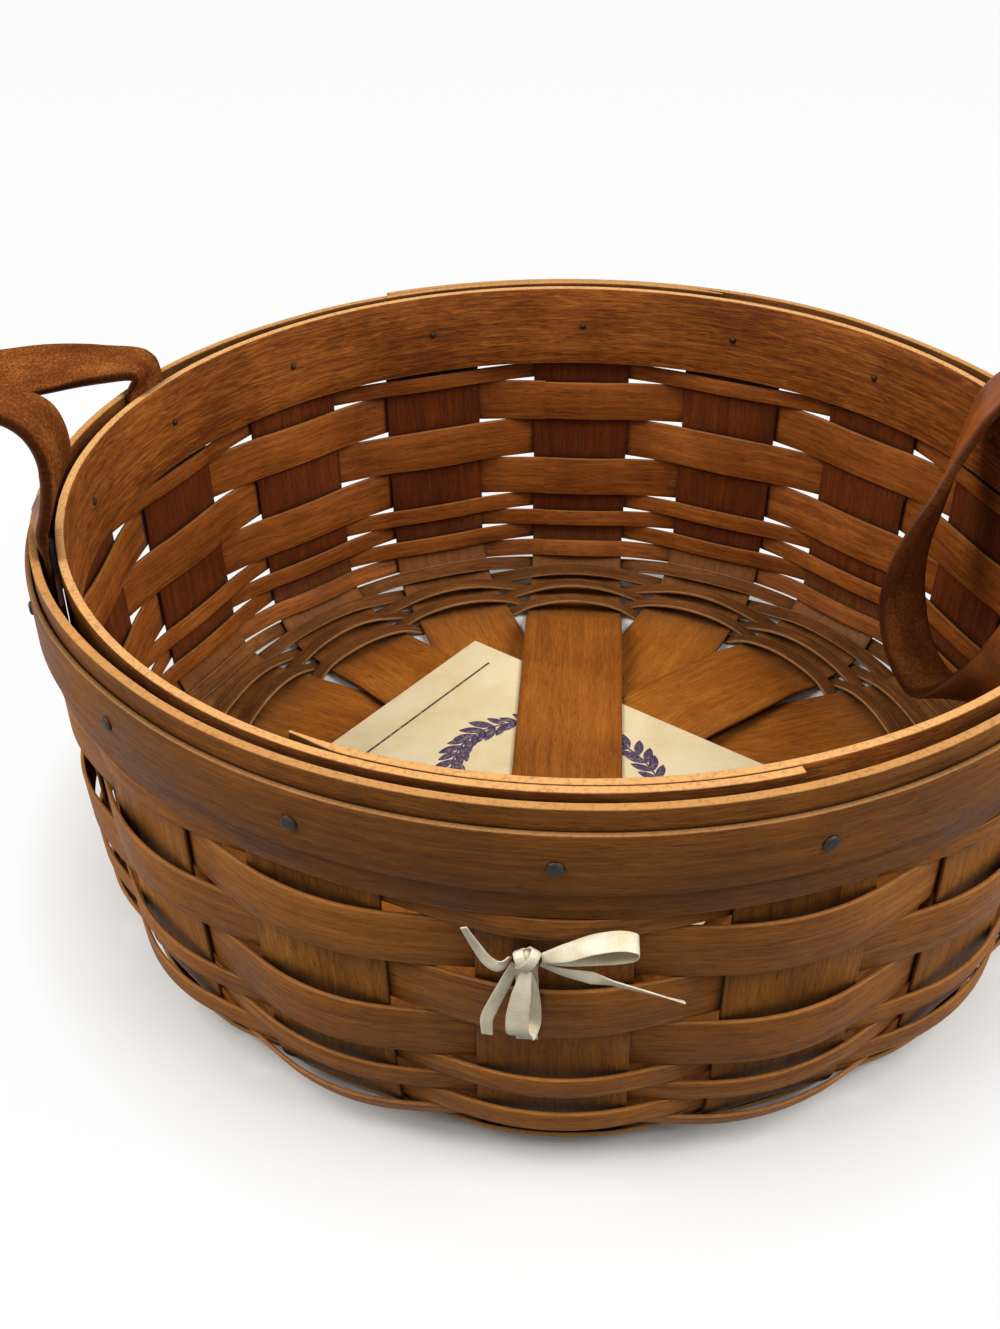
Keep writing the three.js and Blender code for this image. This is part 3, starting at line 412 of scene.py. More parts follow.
def strip(name, path, out, width, thickness, edge_radius, material, fold=None, shave=None):
    """A strip along a path. All lengths are in millimetres, out is a direction at each point."""
    global strips_made
    strips_made += 1
    path = np.asarray(path, float)
    run = tangents(path)
    out = np.asarray(out, float)
    out = unit(out - run * np.sum(out * run, axis=1, keepdims=True))
    wide = np.cross(run, out)
    mesh = bpy.data.meshes.new(name)
    edges = [(i, i + 1) for i in range(len(path) - 1)]
    mesh.from_pydata((path * MM).tolist(), edges, [])
    for label, values in (("out", out), ("wide", wide)):
        mesh.attributes.new(label, "FLOAT_VECTOR", "POINT").data.foreach_set("vector", values.ravel())
    for label, values in (("fold", fold), ("shave", shave)):
        values = np.zeros(len(path)) if values is None else np.asarray(values, float)
        mesh.attributes.new(label, "FLOAT", "POINT").data.foreach_set("value", values)
    inputs = {
        "Width": width * MM,
        "Thickness": thickness * MM,
        "Edge radius": edge_radius * MM,
        "Strip number": float(strips_made),
        "Material": material,
    }
    return made_real(new_object(name, mesh), STRIP_TREE, inputs)


def dress(piece, slot, *nodes):
    """Puts a finished piece in place of its CAD nodes, on the basket; slot is not used."""
    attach(piece, "basket")
    if nodes:
        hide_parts(*nodes)


# Materials


def new_material(name):
    material = bpy.data.materials.new(name)
    material.use_nodes = True
    material.node_tree.nodes.clear()
    return material, material.node_tree


def carried(tree, name):
    """A number that a strip carries for its material."""
    return add(tree, "ShaderNodeAttribute", attribute_name=name).outputs["Fac"]


def strip_place(tree):
    """The place on a strip: along it, across it, and the strip's number."""
    return add(tree, "ShaderNodeAttribute", attribute_name="grain").outputs["Vector"]


def object_place(tree):
    return add(tree, "ShaderNodeTexCoord").outputs["Object"]


def from_axis(tree, place):
    """How far a place is from the basket's axis."""
    links = {0: place, 1: (1, 1, 0)}
    flat = add(tree, "ShaderNodeVectorMath", links, operation="MULTIPLY").outputs[0]
    return add(tree, "ShaderNodeVectorMath", {0: flat}, operation="LENGTH").outputs["Value"]


def noise(tree, place, size, detail, roughness=0.5, distortion=0.0):
    """Noise in grains of about a size, which is in metres."""
    links = {"Vector": place, "Scale": 1 / size, "Detail": detail}
    links.update({"Roughness": roughness, "Distortion": distortion})
    return add(tree, "ShaderNodeTexNoise", links).outputs["Fac"]


def strip_noise(tree, place, length, width, own, detail, roughness, distortion=0.0):
    """Noise in grains of a length and a width along a strip. own tells one strip from the next."""
    links = {"Vector": place, "Scale": (1 / length, 1 / width, own)}
    stretched = add(tree, "ShaderNodeMapping", links).outputs[0]
    return noise(tree, stretched, 1, detail, roughness, distortion)


def ranged(tree, value, start, end, low=0.0, high=1.0):
    """Goes from low to high while the value goes from start to end."""
    links = {"Value": value, "From Min": start, "From Max": end, "To Min": low, "To Max": high}
    return add(tree, "ShaderNodeMapRange", links).outputs["Result"]


def mixed(tree, share, first, second, kind="RGBA"):
    """The first of two colours or numbers where the share is 0, the second where it is 1."""
    links = {"Factor": share, "A": first, "B": second}
    return add(tree, "ShaderNodeMix", links, data_type=kind).outputs["Result"]


def ramped(tree, share, first, last, *between):
    """A colour from pairs of a share and a tone."""
    node = add(tree, "ShaderNodeValToRGB", {"Fac": share})
    stops = node.color_ramp.elements
    for i, (place, tone) in enumerate((first, last)):
        stops[i].position = place
        stops[i].color = linear(tone)
    for place, tone in between:
        stops.new(place).color = linear(tone)
    return node.outputs["Color"]


def bumped(tree, height, strength, distance):
    links = {"Height": height, "Strength": strength, "Distance": distance}
    return add(tree, "ShaderNodeBump", links).outputs[0]


def cover(tree, looks):
    """Ends a material's tree with one surface."""
    surface = add(tree, "ShaderNodeBsdfPrincipled", looks).outputs[0]
    add(tree, "ShaderNodeOutputMaterial", {"Surface": surface})


def stained_maple(name, edge, outer, inner=None, wall=None, ripple=0.3, dust=0.0, gloss=0.14):
    """Split maple, steamed, woven and stained: satin, with fine pores and ripples along the strip.

    edge is the tone of the strip's edges, where it starts as a share of the half width, and how
    strong it is. outer and inner give a dark, a middle and a light tone for the strip's two faces,
    which are alike without inner. wall is a second set for the inner face where it stands up above
    the base, darker as painted shade. dust is the share of brown dust on strips that are seldom
    wiped, and gloss the level of the stain's shine.
    """
    material, tree = new_material(name)
    inner = inner or outer
    grain = strip_place(tree)
    place = object_place(tree)
    height = part_of(tree, place, "Z")
    # Streaks about 45 mm long and 2 mm wide
    streaks = strip_noise(tree, grain, 0.045, 0.002, 7.3, 5.0, 0.62, 0.5)
    # Ripples of torn fibres about 9 mm long and 0.8 mm wide
    ripples = strip_noise(tree, grain, 0.009, 0.0008, 5.7, 3.0, 0.55, 1.2)
    # Pores about 3 mm long and 0.4 mm wide, drawn coarser than the real ones so that they show
    pores = ranged(tree, strip_noise(tree, grain, 0.003, 0.0004, 3.1, 3.0, 0.6), 0.54, 0.7)
    # Stain that took unevenly, in patches of about 25 mm
    patches = noise(tree, place, 0.025, 4.0, 0.55)
    # Each strip came from another log, so it has its own tone
    number = {"W": part_of(tree, grain, "Z")}
    own_tone = add(tree, "ShaderNodeTexWhiteNoise", number, noise_dimensions="1D").outputs["Value"]
    depth = maths(tree, "ADD", streaks, patches)
    depth = maths(tree, "MULTIPLY_ADD", own_tone, 0.1, depth)
    depth = maths(tree, "MULTIPLY_ADD", maths(tree, "ADD", ripples, -0.5), 3 * ripple, depth)
    depth = ranged(tree, depth, 0.72, 1.5)
    outer_tone, base_tone, shaded_wall_tone = (
        ramped(tree, depth, (0, dark), (1, light), (0.5, middle))
        for dark, middle, light in (outer, inner, wall or inner)
    )
    # Painted shade: the inner face turns from its base tones to the darker wall tones from 8 to 16 mm up
    inner_tone = mixed(tree, ranged(tree, height, 0.008, 0.016), base_tone, shaded_wall_tone)
    is_outer = ranged(tree, carried(tree, "face"), -0.2, 0.2)
    colour = mixed(tree, is_outer, inner_tone, outer_tone)
    colour = mixed(tree, times(tree, pores, 0.5), colour, linear("#241004"))
    if dust:
        # Dust lies among the base rings, from 80 mm out and up to 25 mm high
        share = ranged(tree, noise(tree, place, 0.004, 5.0, 0.7), 0.35, 0.75, 0.3 * dust, dust)
        share = times(tree, share, ranged(tree, from_axis(tree, place), 0.08, 0.094))
        share = times(tree, share, ranged(tree, height, 0.025, 0.01))
        colour = mixed(tree, share, colour, linear("#62422a"))
    # The edge's tone comes and goes in specks of about 0.8 mm
    edge_tone, edge_start, edge_share = edge
    specks = noise(tree, place, 0.0008, 2.0)
    specks = ranged(tree, specks, 0.32, 0.5, 0.6 * edge_share, edge_share)
    on_edge = ranged(tree, carried(tree, "edge"), edge_start, 0.3 * edge_start + 0.7)
    colour = mixed(tree, times(tree, on_edge, specks), colour, linear(edge_tone))
    # Painted shade: the colour darkens towards near black within 5 mm of where strips cross, in the hollows
    # between them
    open_share = add(tree, "ShaderNodeAmbientOcclusion", {"Distance": 0.005}, samples=6).outputs["AO"]
    colour = mixed(tree, ranged(tree, open_share, 0.25, 0.9, 0.85, 0.0), colour, linear("#180a03"))
    relief = maths(tree, "MULTIPLY_ADD", ripples, ripple, streaks)
    relief = maths(tree, "MULTIPLY_ADD", pores, -0.6, relief)
    looks = {
        "Base Color": colour,
        "Roughness": ranged(tree, patches, 0.3, 0.7, 0.5, 0.66),
        "Normal": bumped(tree, relief, 0.4, 0.0004),
        "IOR": 1.5,
        "Specular IOR Level": gloss,
    }
    cover(tree, looks)
    return material


def saddle_leather(name):
    """Cut saddle leather: one face is the smooth, tanned hide, the other its rough, mottled back."""
    material, tree = new_material(name)
    grain = strip_place(tree)
    # Wear and oil in patches about 16 mm long and 7 mm wide
    worn = strip_noise(tree, grain, 0.016, 0.007, 1.0, 5.0, 0.6)
    smooth = ramped(tree, worn, (0.3, "#582509"), (0.68, "#a4591e"))
    # Loose fibres about 0.7 mm across on the rough back, thicker in some patches than in others
    fibres = noise(tree, grain, 0.0007, 4.0, 0.8)
    nap = ranged(tree, maths(tree, "MULTIPLY_ADD", worn, 0.6, fibres), 0.5, 1.1)
    rough = ramped(tree, nap, (0.05, "#3a1a08"), (0.95, "#a66632"), (0.5, "#6e3a16"))
    is_smooth = ranged(tree, carried(tree, "face"), 0.1, 0.6)
    colour = mixed(tree, is_smooth, rough, smooth)
    on_edge = ranged(tree, carried(tree, "edge"), 0.9, 0.99, 0.0, 0.75)
    colour = mixed(tree, on_edge, colour, linear("#3a1c0b"))
    # Hands have darkened the grip, about 90 mm in the middle of the strap
    to_grip = maths(tree, "SUBTRACT", part_of(tree, grain, "X"), LEATHER_LENGTH / 2 * MM)
    handled = ranged(tree, maths(tree, "ABSOLUTE", to_grip), 0.03, 0.06, 0.6, 0.0)
    colour = mixed(tree, handled, colour, linear("#2a0f04"))
    # Pebbles about 0.7 mm across on the smooth face
    pebble_size = {"Vector": grain, "Scale": 1 / 0.0007}
    pebbles = add(tree, "ShaderNodeTexVoronoi", pebble_size).outputs["Distance"]
    height = mixed(tree, is_smooth, fibres, times(tree, pebbles, 0.25), "FLOAT")
    looks = {
        "Base Color": colour,
        "Roughness": ranged(tree, is_smooth, 0, 1, 0.9, 0.45),
        "Normal": bumped(tree, height, 0.5, 0.0004),
        "IOR": 1.5,
        "Specular IOR Level": ranged(tree, is_smooth, 0, 1, 0.03, 0.22),
    }
    cover(tree, looks)
    return material


def satin_ribbon(name):
    """Woven polyester satin: cream, with a soft sheen, fine cross threads and a firmer edge."""
    material, tree = new_material(name)
    grain = strip_place(tree)
    # Cross threads about 0.8 mm apart, drawn coarser than the real ones so that they show
    wave = {"Vector": grain, "Scale": 1 / 0.0004 / math.tau, "Distortion": 0.6, "Detail": 2.0}
    threads = add(tree, "ShaderNodeTexWave", wave, bands_direction="X").outputs["Fac"]
    creases = noise(tree, grain, 0.003, 3.0)
    tone = ramped(tree, creases, (0.3, "#d0c2a0"), (0.65, "#e0d6bc"))
    at_edge = ranged(tree, carried(tree, "edge"), 0.8, 0.95, 0.0, 0.35)
    looks = {
        "Base Color": mixed(tree, at_edge, tone, linear("#c8b890")),
        "Roughness": 0.42,
        "Normal": bumped(tree, threads, 0.15, 0.0001),
        "IOR": 1.5,
        "Sheen Weight": 0.25,
        "Sheen Roughness": 0.4,
    }
    cover(tree, looks)
    return material


def dulled_steel(name):
    """Wire tacks of mild steel, dulled by age, with brown rust in spots of about a millimetre."""
    material, tree = new_material(name)
    spots = noise(tree, object_place(tree), 0.0009, 4.0, 0.65)
    rust = ranged(tree, spots, 0.48, 0.66)
    looks = {
        "Base Color": mixed(tree, rust, linear("#302f2c"), linear("#3c2616")),
        "Metallic": ranged(tree, rust, 0, 1, 0.9, 0.15),
        "Roughness": ranged(tree, rust, 0, 1, 0.45, 0.8),
        "Normal": bumped(tree, spots, 0.4, 0.0002),
    }
    cover(tree, looks)
    return material


def card_stock(name):
    """Uncoated cream card, a little foxed: matte, with faint fibres and tan clouds."""
    material, tree = new_material(name)
    place = object_place(tree)
    clouds = noise(tree, place, 0.018, 5.0, 0.6)
    fibres = noise(tree, place, 0.0007, 3.0)
    looks = {
        "Base Color": ramped(tree, clouds, (0.3, "#cbb586"), (0.62, "#d9c8a2")),
        "Roughness": 0.85,
        "Normal": bumped(tree, fibres, 0.2, 0.0001),
        "IOR": 1.45,
        "Specular IOR Level": 0.25,
    }
    cover(tree, looks)
    return material


def printing_ink(name, colour):
    """Flat offset ink, a little worn, so that the card shows through it in specks."""
    material, tree = new_material(name)
    wear = noise(tree, object_place(tree), 0.0008, 3.0)
    thin = ranged(tree, wear, 0.5, 0.75, 0.0, 0.6)
    tone = mixed(tree, thin, linear(colour), linear("#b6a582"))
    cover(tree, {"Base Color": tone, "Roughness": 0.8, "Specular IOR Level": 0.2})
    return material


BAND_TONES = ("#54300f", "#774618", "#935c26")
SPLINT_WOOD = stained_maple(
    "stained_maple_splints",
    edge=("#2c1608", 0.9, 0.25),
    outer=("#6c3c16", "#945c24", "#b27636"),
    inner=("#7a4212", "#98581a", "#ae6a26"),
    # Painted shade: darker tones for the inner face where it stands up the wall
    wall=("#441b06", "#5c280a", "#743710"),
    dust=0.6,
)
WEAVER_WOOD = stained_maple(
    "stained_maple_weavers",
    edge=("#a8713a", 0.93, 0.5),
    outer=("#6a3a14", "#945a22", "#b27434"),
    inner=("#643210", "#8c4c18", "#ac662a"),
)
RING_WOOD = stained_maple(
    "dusty_maple_base_rings",
    edge=("#bc8c58", 0.85, 0.6),
    outer=("#4c2a11", "#71431e", "#915f30"),
    dust=0.3,
    gloss=0.03,
)
INNER_BAND_WOOD = stained_maple(
    "stained_maple_inner_band",
    edge=("#d09c60", 0.975, 0.9),
    outer=("#623110", "#884a18", "#a86426"),
    ripple=0.6,
)
OUTER_BAND_WOOD = stained_maple("stained_maple_outer_band", ("#c08a4e", 0.975, 0.8), BAND_TONES)
TRIM_WOOD = stained_maple("stained_maple_trim", ("#b08250", 0.965, 0.6), BAND_TONES)
LEATHER = saddle_leather("saddle_leather")
RIBBON = satin_ribbon("cream_satin_ribbon")
STEEL = dulled_steel("dulled_steel_tacks")
CARD_STOCK = card_stock("cream_card")
PURPLE_INK = printing_ink("purple_ink", "#4b3a56")
RULE_INK = printing_ink("brown_black_ink", "#4a3a30")


# The wall's profile


def wall_profile():
    """The wall's middle surface as a line from the rim top, down, round the corner and in."""
    straight = OUTER_BAND_HEIGHT + OUTWARD_BOW
    corner_x = UPRIGHT_RADIUS - WALL_TAPER - CORNER_RADIUS
    corner_z = FLOOR_LEVEL + CORNER_RADIUS
    down = np.linspace(0, 1, 25)
    wall_x = UPRIGHT_RADIUS - WALL_TAPER * (1 - np.cos(down * math.pi / 2))
    wall_z = RIM_HEIGHT - straight + (corner_z - RIM_HEIGHT + straight) * down
    turn = down[1:] * math.pi / 2
    x = np.concatenate([[UPRIGHT_RADIUS], wall_x, corner_x + CORNER_RADIUS * np.cos(turn), [0]])
    z = np.concatenate([[RIM_HEIGHT], wall_z, corner_z - CORNER_RADIUS * np.sin(turn), [FLOOR_LEVEL]])
    lengths = np.concatenate([[0], np.cumsum(np.hypot(np.diff(x), np.diff(z)))])
    return x, z, lengths, corner_x


PROFILE_X, PROFILE_Z, PROFILE_LENGTHS, CORNER_X = wall_profile()
FLOOR_START = PROFILE_LENGTHS[-1] - CORNER_X


def profile_point(length):
    x = np.interp(length, PROFILE_LENGTHS, PROFILE_X)
    z = np.interp(length, PROFILE_LENGTHS, PROFILE_Z)
    return np.array([x, z])


def profile_normal(length):
    run = profile_point(length + 1) - profile_point(length - 1)
    run = run / np.linalg.norm(run)
    return np.array([-run[1], run[0]])


# Splints


def splint_half(splint):
    """A splint's path from its cut end at the rim to the axis, in its own upright plane."""
    places = np.linspace(SPLINT_TOP_DROP, FLOOR_START, WALL_POINTS)
    path = [profile_point(place) for place in places]
    half = SPLINT_WIDTH / 2
    if splint == 0:
        level = CARD_LEVEL + CARD_THICKNESS + STACK_GAP + SPLINT_THICKNESS / 2
        knees = [(RAMP_START, FLOOR_LEVEL)]
        for share in np.linspace(0.1, 1, 10):
            rise = FLOOR_LEVEL + (level - FLOOR_LEVEL) * smooth_step(share)
            knees.append((RAMP_START - share * TOP_SPLINT_FALL, rise))
    else:
        from_top = splint // 2 if splint % 2 == 0 else SPLINT_COUNT // 2 + (splint - 1) // 2
        level = (SPLINT_COUNT - 1 - from_top) * STACK_STEP + SPLINT_THICKNESS / 2
        knees = [
            (RAMP_START, FLOOR_LEVEL),
            (half / math.sin(HALF_STEP) + SPLINT_THICKNESS, FLOOR_LEVEL + 0.45 * (level - FLOOR_LEVEL)),
            (half / math.sin(2 * HALF_STEP) + 4 * SPLINT_THICKNESS, level),
        ]
    knees = np.array(knees + [(0, level)])
    flat = np.linspace(CORNER_X, 0, FLOOR_POINTS)[1:]
    heights = np.interp(flat[::-1], knees[::-1, 0], knees[::-1, 1])[::-1]
    return np.vstack([path, np.stack([flat, heights], axis=1)])


def make_splints():
    for splint in range(SPLINT_COUNT):
        half = splint_half(splint)
        mirrored = half[::-1][1:] * [-1, 1]
        flat = np.vstack([half, mirrored])
        bearing = splint * UPRIGHT_STEP
        path = flat[:, :1] * outward(bearing) + flat[:, 1:] * np.array([0, 0, 1])
        run = np.gradient(flat, axis=0)
        out = -run[:, 1:] * outward(bearing) + run[:, :1] * np.array([0, 0, 1])
        fold = wander(len(path), size=0.012, step=6)
        name = f"splint_{splint + 1}"
        piece = strip(
            name + "_wood", path, out, SPLINT_WIDTH, SPLINT_THICKNESS, SPLINT_EDGE, SPLINT_WOOD, fold
        )
        dress(piece, "splint_wood", name)


# Weavers


def weaver_path(start, end, passes_outside):
    """A weaver's middle line, over and under the uprights and past once round, and how its face looks."""
    middle = (start + end) / 2
    point = profile_point(middle)
    normal = profile_normal(middle)
    reach = SPLINT_WIDTH / 2 + CLEARANCE
    stops = []
    faces = []
    for upright in range(UPRIGHT_COUNT + 1):
        outside = passes_outside == (upright % 2 == 0)
        out = outward(upright * UPRIGHT_STEP)
        side = along(upright * UPRIGHT_STEP)
        bow = random.uniform(0.9, 1.1)
        for share in (-1, -0.5, 0, 0.5, 1):
            rounded = 1 - share * share
            if outside:
                offset = CONTACT + OUTWARD_BOW * bow * max(normal[0], 0) * rounded
            else:
                flat = max(-normal[1], 0)
                offset = -CONTACT - (INWARD_BOW + (BASE_ARCH - INWARD_BOW) * flat) * bow * rounded
            place = point + normal * offset
            stops.append(out * place[0] + side * share * reach + np.array([0, 0, place[1]]))
            faces.append(out * normal[0] + np.array([0, 0, normal[1]]))
    path = curve_through(stops, WEAVER_STEPS)
    path[:, 2] = np.maximum(path[:, 2], WEAVER_THICKNESS / 2)
    return path, between_stops(faces, WEAVER_STEPS)


def weaver_rows():
    """Each row's name and its first and last place on the wall's profile, from the rim down."""
    wall_start = OUTER_BAND_HEIGHT + CLEARANCE
    wall_end = FLOOR_START - CORNER_RADIUS * math.pi / 2 * (1 - CORNER_ROWS_PART)
    base_end = PROFILE_LENGTHS[-1] - INNERMOST_RING + BASE_RING_WIDTH / 2
    wall = [("weaver_top", TOP_ROW_WIDTH)]
    wall += [(f"weaver_wide_{i}", WIDE_ROW_WIDTH) for i in (1, 2, 3)]
    wall += [(f"weaver_narrow_{i}", NARROW_ROW_WIDTH) for i in (1, 2, 3, 4)]
    base = [(f"base_ring_{i}", BASE_RING_WIDTH) for i in (1, 2, 3, 4, 5, 6)]
    wall_gap = (wall_end - wall_start - sum(width for _, width in wall)) / (len(wall) - 1)
    base_gap = (base_end - wall_end) / len(base) - BASE_RING_WIDTH
    rows = []
    for names, first, gap in ((wall, wall_start, wall_gap), (base, wall_end + base_gap, base_gap)):
        for name, width in names:
            rows.append((name, first, first + width))
            first += width + gap
    return rows


def make_weavers():
    for number, (name, start, end) in enumerate(weaver_rows()):
        path, out = weaver_path(start, end, passes_outside=number % 2 == 0)
        path = path[ONCE_ROUND]
        fold = wander(len(path), size=0.03, step=9)
        is_base = name.startswith("base")
        wood = RING_WOOD if is_base else WEAVER_WOOD
        slot = "base_ring_wood" if is_base else "weaver_wood"
        width = end - start
        piece = strip(
            name + "_wood", path, out[ONCE_ROUND], width, WEAVER_THICKNESS, WEAVER_EDGE, wood, fold
        )
        dress(piece, slot, name)


# Rim bands


def handle_swell(bearing):
    """How far the outer band stands out where the strap ends lie behind it."""
    from_side = np.abs(np.abs((bearing + 180) % 360 - 180) - 90)
    edge = UPRIGHT_STEP + math.degrees(STRAP_WIDTH / 4 / STRAP_RADIUS)
    return BAND_SWELL * (1 - smooth_step((from_side - edge) / BAND_SWELL_EASE))


def lap_angles(length, inside):
    """The angles that a lap of a length takes, and that its step takes to ease out."""
    return math.degrees(length / inside), math.degrees(LAP_EASE / inside)


def make_band(name, inside, height, lap_length, lap_bearing, is_outer, wood):
    """A hoop whose start overlaps the outside of its end, with the end shaved thin.

    The outer band's start steps out over its end, and the inner band's end steps in.
    """
    lap, ease = lap_angles(lap_length, inside)
    shave_length = math.degrees(height / 2 / inside)
    start = lap_bearing - lap / 2
    finish = start + 360 + lap
    bearings = np.linspace(start, finish, BAND_POINTS)
    step_start = start + lap if is_outer else finish - lap - ease
    lift = LAP_STEP * (1 - smooth_step((bearings - step_start) / ease))
    thin = smooth_step((bearings - finish + shave_length) / shave_length)
    thickness = BAND_THICKNESS + (LAP_END_THICKNESS - BAND_THICKNESS) * thin
    swell = handle_swell(bearings) if is_outer else 0
    radius = inside + lift + swell + thickness / 2
    out = np.array([outward(b) for b in bearings])
    path = out * radius[:, None] + np.array([0, 0, RIM_HEIGHT - height / 2])
    fold = wander(len(bearings), size=0.012, step=14)
    shave = 1 - thickness / BAND_THICKNESS
    piece = strip(name + "_wood", path, out, height, BAND_THICKNESS, BAND_EDGE, wood, fold, shave)
    dress(piece, "band_wood", name)


def outer_band_outside(bearing):
    lap, ease = lap_angles(OUTER_LAP_LENGTH, OUTER_BAND_INSIDE)
    step = UPRIGHT_STEP / 4
    from_lap = (bearing - OUTER_LAP_BEARING + 180) % 360 - 180
    past = np.where(from_lap > 0, (from_lap - lap / 2) / ease, (-from_lap - lap / 2 - step) / step)
    lift = LAP_STEP * (1 - smooth_step(past))
    return OUTER_BAND_INSIDE + BAND_THICKNESS + handle_swell(bearing) + lift


def make_trim():
    """The thin strip round the middle of the outer band, its ends butted behind a tack."""
    bearings = np.linspace(0, 360, BAND_POINTS)
    radius = outer_band_outside(bearings) + CLEARANCE + TRIM_THICKNESS / 2
    out = np.array([outward(b) for b in bearings])
    path = out * radius[:, None] + np.array([0, 0, RIM_HEIGHT - TRIM_TOP_DROP - TRIM_HEIGHT / 2])
    fold = wander(len(bearings), size=0.01, step=14)
    piece = strip(
        "trim_strip_wood", path, out, TRIM_HEIGHT, TRIM_THICKNESS, TRIM_EDGE, TRIM_WOOD, fold
    )
    dress(piece, "band_wood", "trim_strip")


# Leather handles


def strap_place(side, end):
    bearing = side * (90 - end * UPRIGHT_STEP)
    return outward(bearing) * STRAP_RADIUS + along(bearing) * side * end * STRAP_SHIFT


HINGE_X, LEG_Y = strap_place(1, 1)[:2]

# Stops of the free loops: outwards from the hinge line, up from it, along it as a share of the
# distance from the middle to an end, and the way across the strap
LEFT_LOOP = [
    (0, 0, -1, (-0.38, -0.92, 0)),
    (-3.2, 6.5, -1, (-0.2, -0.98, 0)),
    (-6.2, 15.5, -1, (0, -1, 0)),
    (-6, 21, -1, (0, -1, 0)),
    (-3.8, 25.3, -0.99, (0, -1, 0)),
    (0, 27.6, -0.98, (0, -1, 0.05)),
    (7, 28.5, -0.97, (0, -1, 0.1)),
    (20, 27.5, -0.92, (0, -0.95, 0.25)),
    (38, 22, -0.76, (0, -0.8, 0.6)),
    (50, 14, -0.32, (0, -0.3, 0.95)),
    (53, 7, 0.1, (0, 0.1, 1)),
    (49, 2, 0.5, (0, 0.55, 0.85)),
    (39, -0.5, 0.8, (0, 0.75, 0.65)),
    (25, 0, 0.95, (0, 0.85, 0.5)),
    (11, 0.5, 1, (0, 0.97, 0.2)),
    (0, 0, 1, (0, 1, 0)),
]
RIGHT_LOOP = [
    (0, 0, -1, (0, 1, 0)),
    (-4.5, 0.1, -1, (0, 1, 0)),
    (-9, -2.7, -0.99, (0, 1, 0)),
    (-12.4, -15.2, -0.94, (-0.15, 1, 0.1)),
    (-13.9, -33.2, -0.78, (-0.5, 0.8, 0.2)),
    (-14.9, -50.2, -0.51, (-0.75, 0.4, 0.35)),
    (-17.9, -63.2, -0.18, (-0.9, -0.05, 0.15)),
    (-21.9, -67.7, 0.07, (-0.85, -0.4, 0)),
    (-25.9, -64.2, 0.32, (-0.85, -0.45, 0.1)),
    (-27.3, -55.7, 0.58, (-0.85, -0.5, 0.2)),
    (-24.9, -44.2, 0.76, (-0.6, -0.7, 0.4)),
    (-19.4, -31.2, 0.88, (-0.35, -0.85, 0.45)),
    (-14.3, -17.2, 0.96, (-0.15, -0.95, 0.3)),
    (-9.3, -4.7, 0.99, (0, -1, 0)),
    (-4.5, 0.1, 1, (0, -1, 0)),
    (0, 0, 1, (0, -1, 0)),
]


def strap_end(side, end):
    """The stops of a fixed end, from its cut end behind the outer band up to the hinge line."""
    bearing = side * (90 - end * UPRIGHT_STEP)
    place = strap_place(side, end)
    across = along(bearing)
    heights = (RIM_HEIGHT - STRAP_END_DEPTH, RIM_HEIGHT - 8, RIM_HEIGHT)
    return [(place + np.array([0, 0, z]), across) for z in heights]


def make_strap(name, side, loop):
    """One leather strap: both fixed ends and the free loop between them."""
    front = [(point, -across) for point, across in strap_end(side, -1)]
    back = strap_end(side, 1)[::-1]
    middle = []
    for away, up, share, wide in loop:
        point = np.array([side * (HINGE_X + away), share * LEG_Y, HINGE_Z + up])
        middle.append((point, np.array([side * wide[0], wide[1], wide[2]])))
    stops = front + middle + back
    path = curve_through([point for point, _ in stops], STRAP_STEPS)
    across = between_stops([wide for _, wide in stops], STRAP_STEPS)
    out = np.cross(across, tangents(path))
    pared = 1 - STRAP_END_THICKNESS / STRAP_THICKNESS
    shave = [pared] * len(front) + [0] * len(middle) + [pared] * len(back)
    shave = between_stops(shave, STRAP_STEPS)
    fold = wander(len(path), size=0.02, step=8)
    return strip(name, path, out, STRAP_WIDTH, STRAP_THICKNESS, STRAP_EDGE, LEATHER, fold, shave)


def make_straps():
    left = make_strap("left_strap_leather", -1, LEFT_LOOP)
    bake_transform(left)
    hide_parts("left_strap_loop", "left_strap_front_end", "left_strap_back_end")
    right = make_strap("right_strap_leather", 1, RIGHT_LOOP)
    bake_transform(right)
    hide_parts("right_strap_loop", "right_strap_front_end", "right_strap_back_end")


# Tacks


def lathe(name, outline, sides, material):
    """A closed turned shape from an outline of radii and heights, from tip to tip, in millimetres."""
    vertices = [(0, 0, outline[0][1])]
    for radius, height in outline[1:-1]:
        for i in range(sides):
            a = math.tau * i / sides
            vertices.append((radius * math.cos(a), radius * math.sin(a), height))
    vertices.append((0, 0, outline[-1][1]))
    rings = len(outline) - 2
    last = len(vertices) - 1
    faces = []
    for i in range(sides):
        j = (i + 1) % sides
        faces.append((0, 1 + j, 1 + i))
        for ring in range(rings - 1):
            here = 1 + ring * sides
            above = here + sides
            faces.append((here + i, here + j, above + j, above + i))
        top = 1 + (rings - 1) * sides
        faces.append((top + i, top + j, last))
    return mesh_object(name, vertices, faces, material)


def copies_tree(shape):
    """Sets a copy of a small shape on each point, with the point's own turn and size."""
    inputs = [("Points", "Geometry"), ("Size", "Float"), ("Material", "Material")]
    tree, given = new_tree("copies_of_" + shape.name, inputs, "Copies")
    turn = named(tree, "turn", "FLOAT_VECTOR")
    placing = {
        "Points": given["Points"],
        "Instance": add(tree, "GeometryNodeObjectInfo", {"Object": shape}).outputs["Geometry"],
        "Rotation": add(tree, "FunctionNodeEulerToRotation", {0: turn}).outputs[0],
        "Scale": times(tree, named(tree, "size"), given["Size"]),
    }
    placed = add(tree, "GeometryNodeInstanceOnPoints", placing).outputs[0]
    end_tree(tree, placed, given["Material"], "Copies")
    return tree


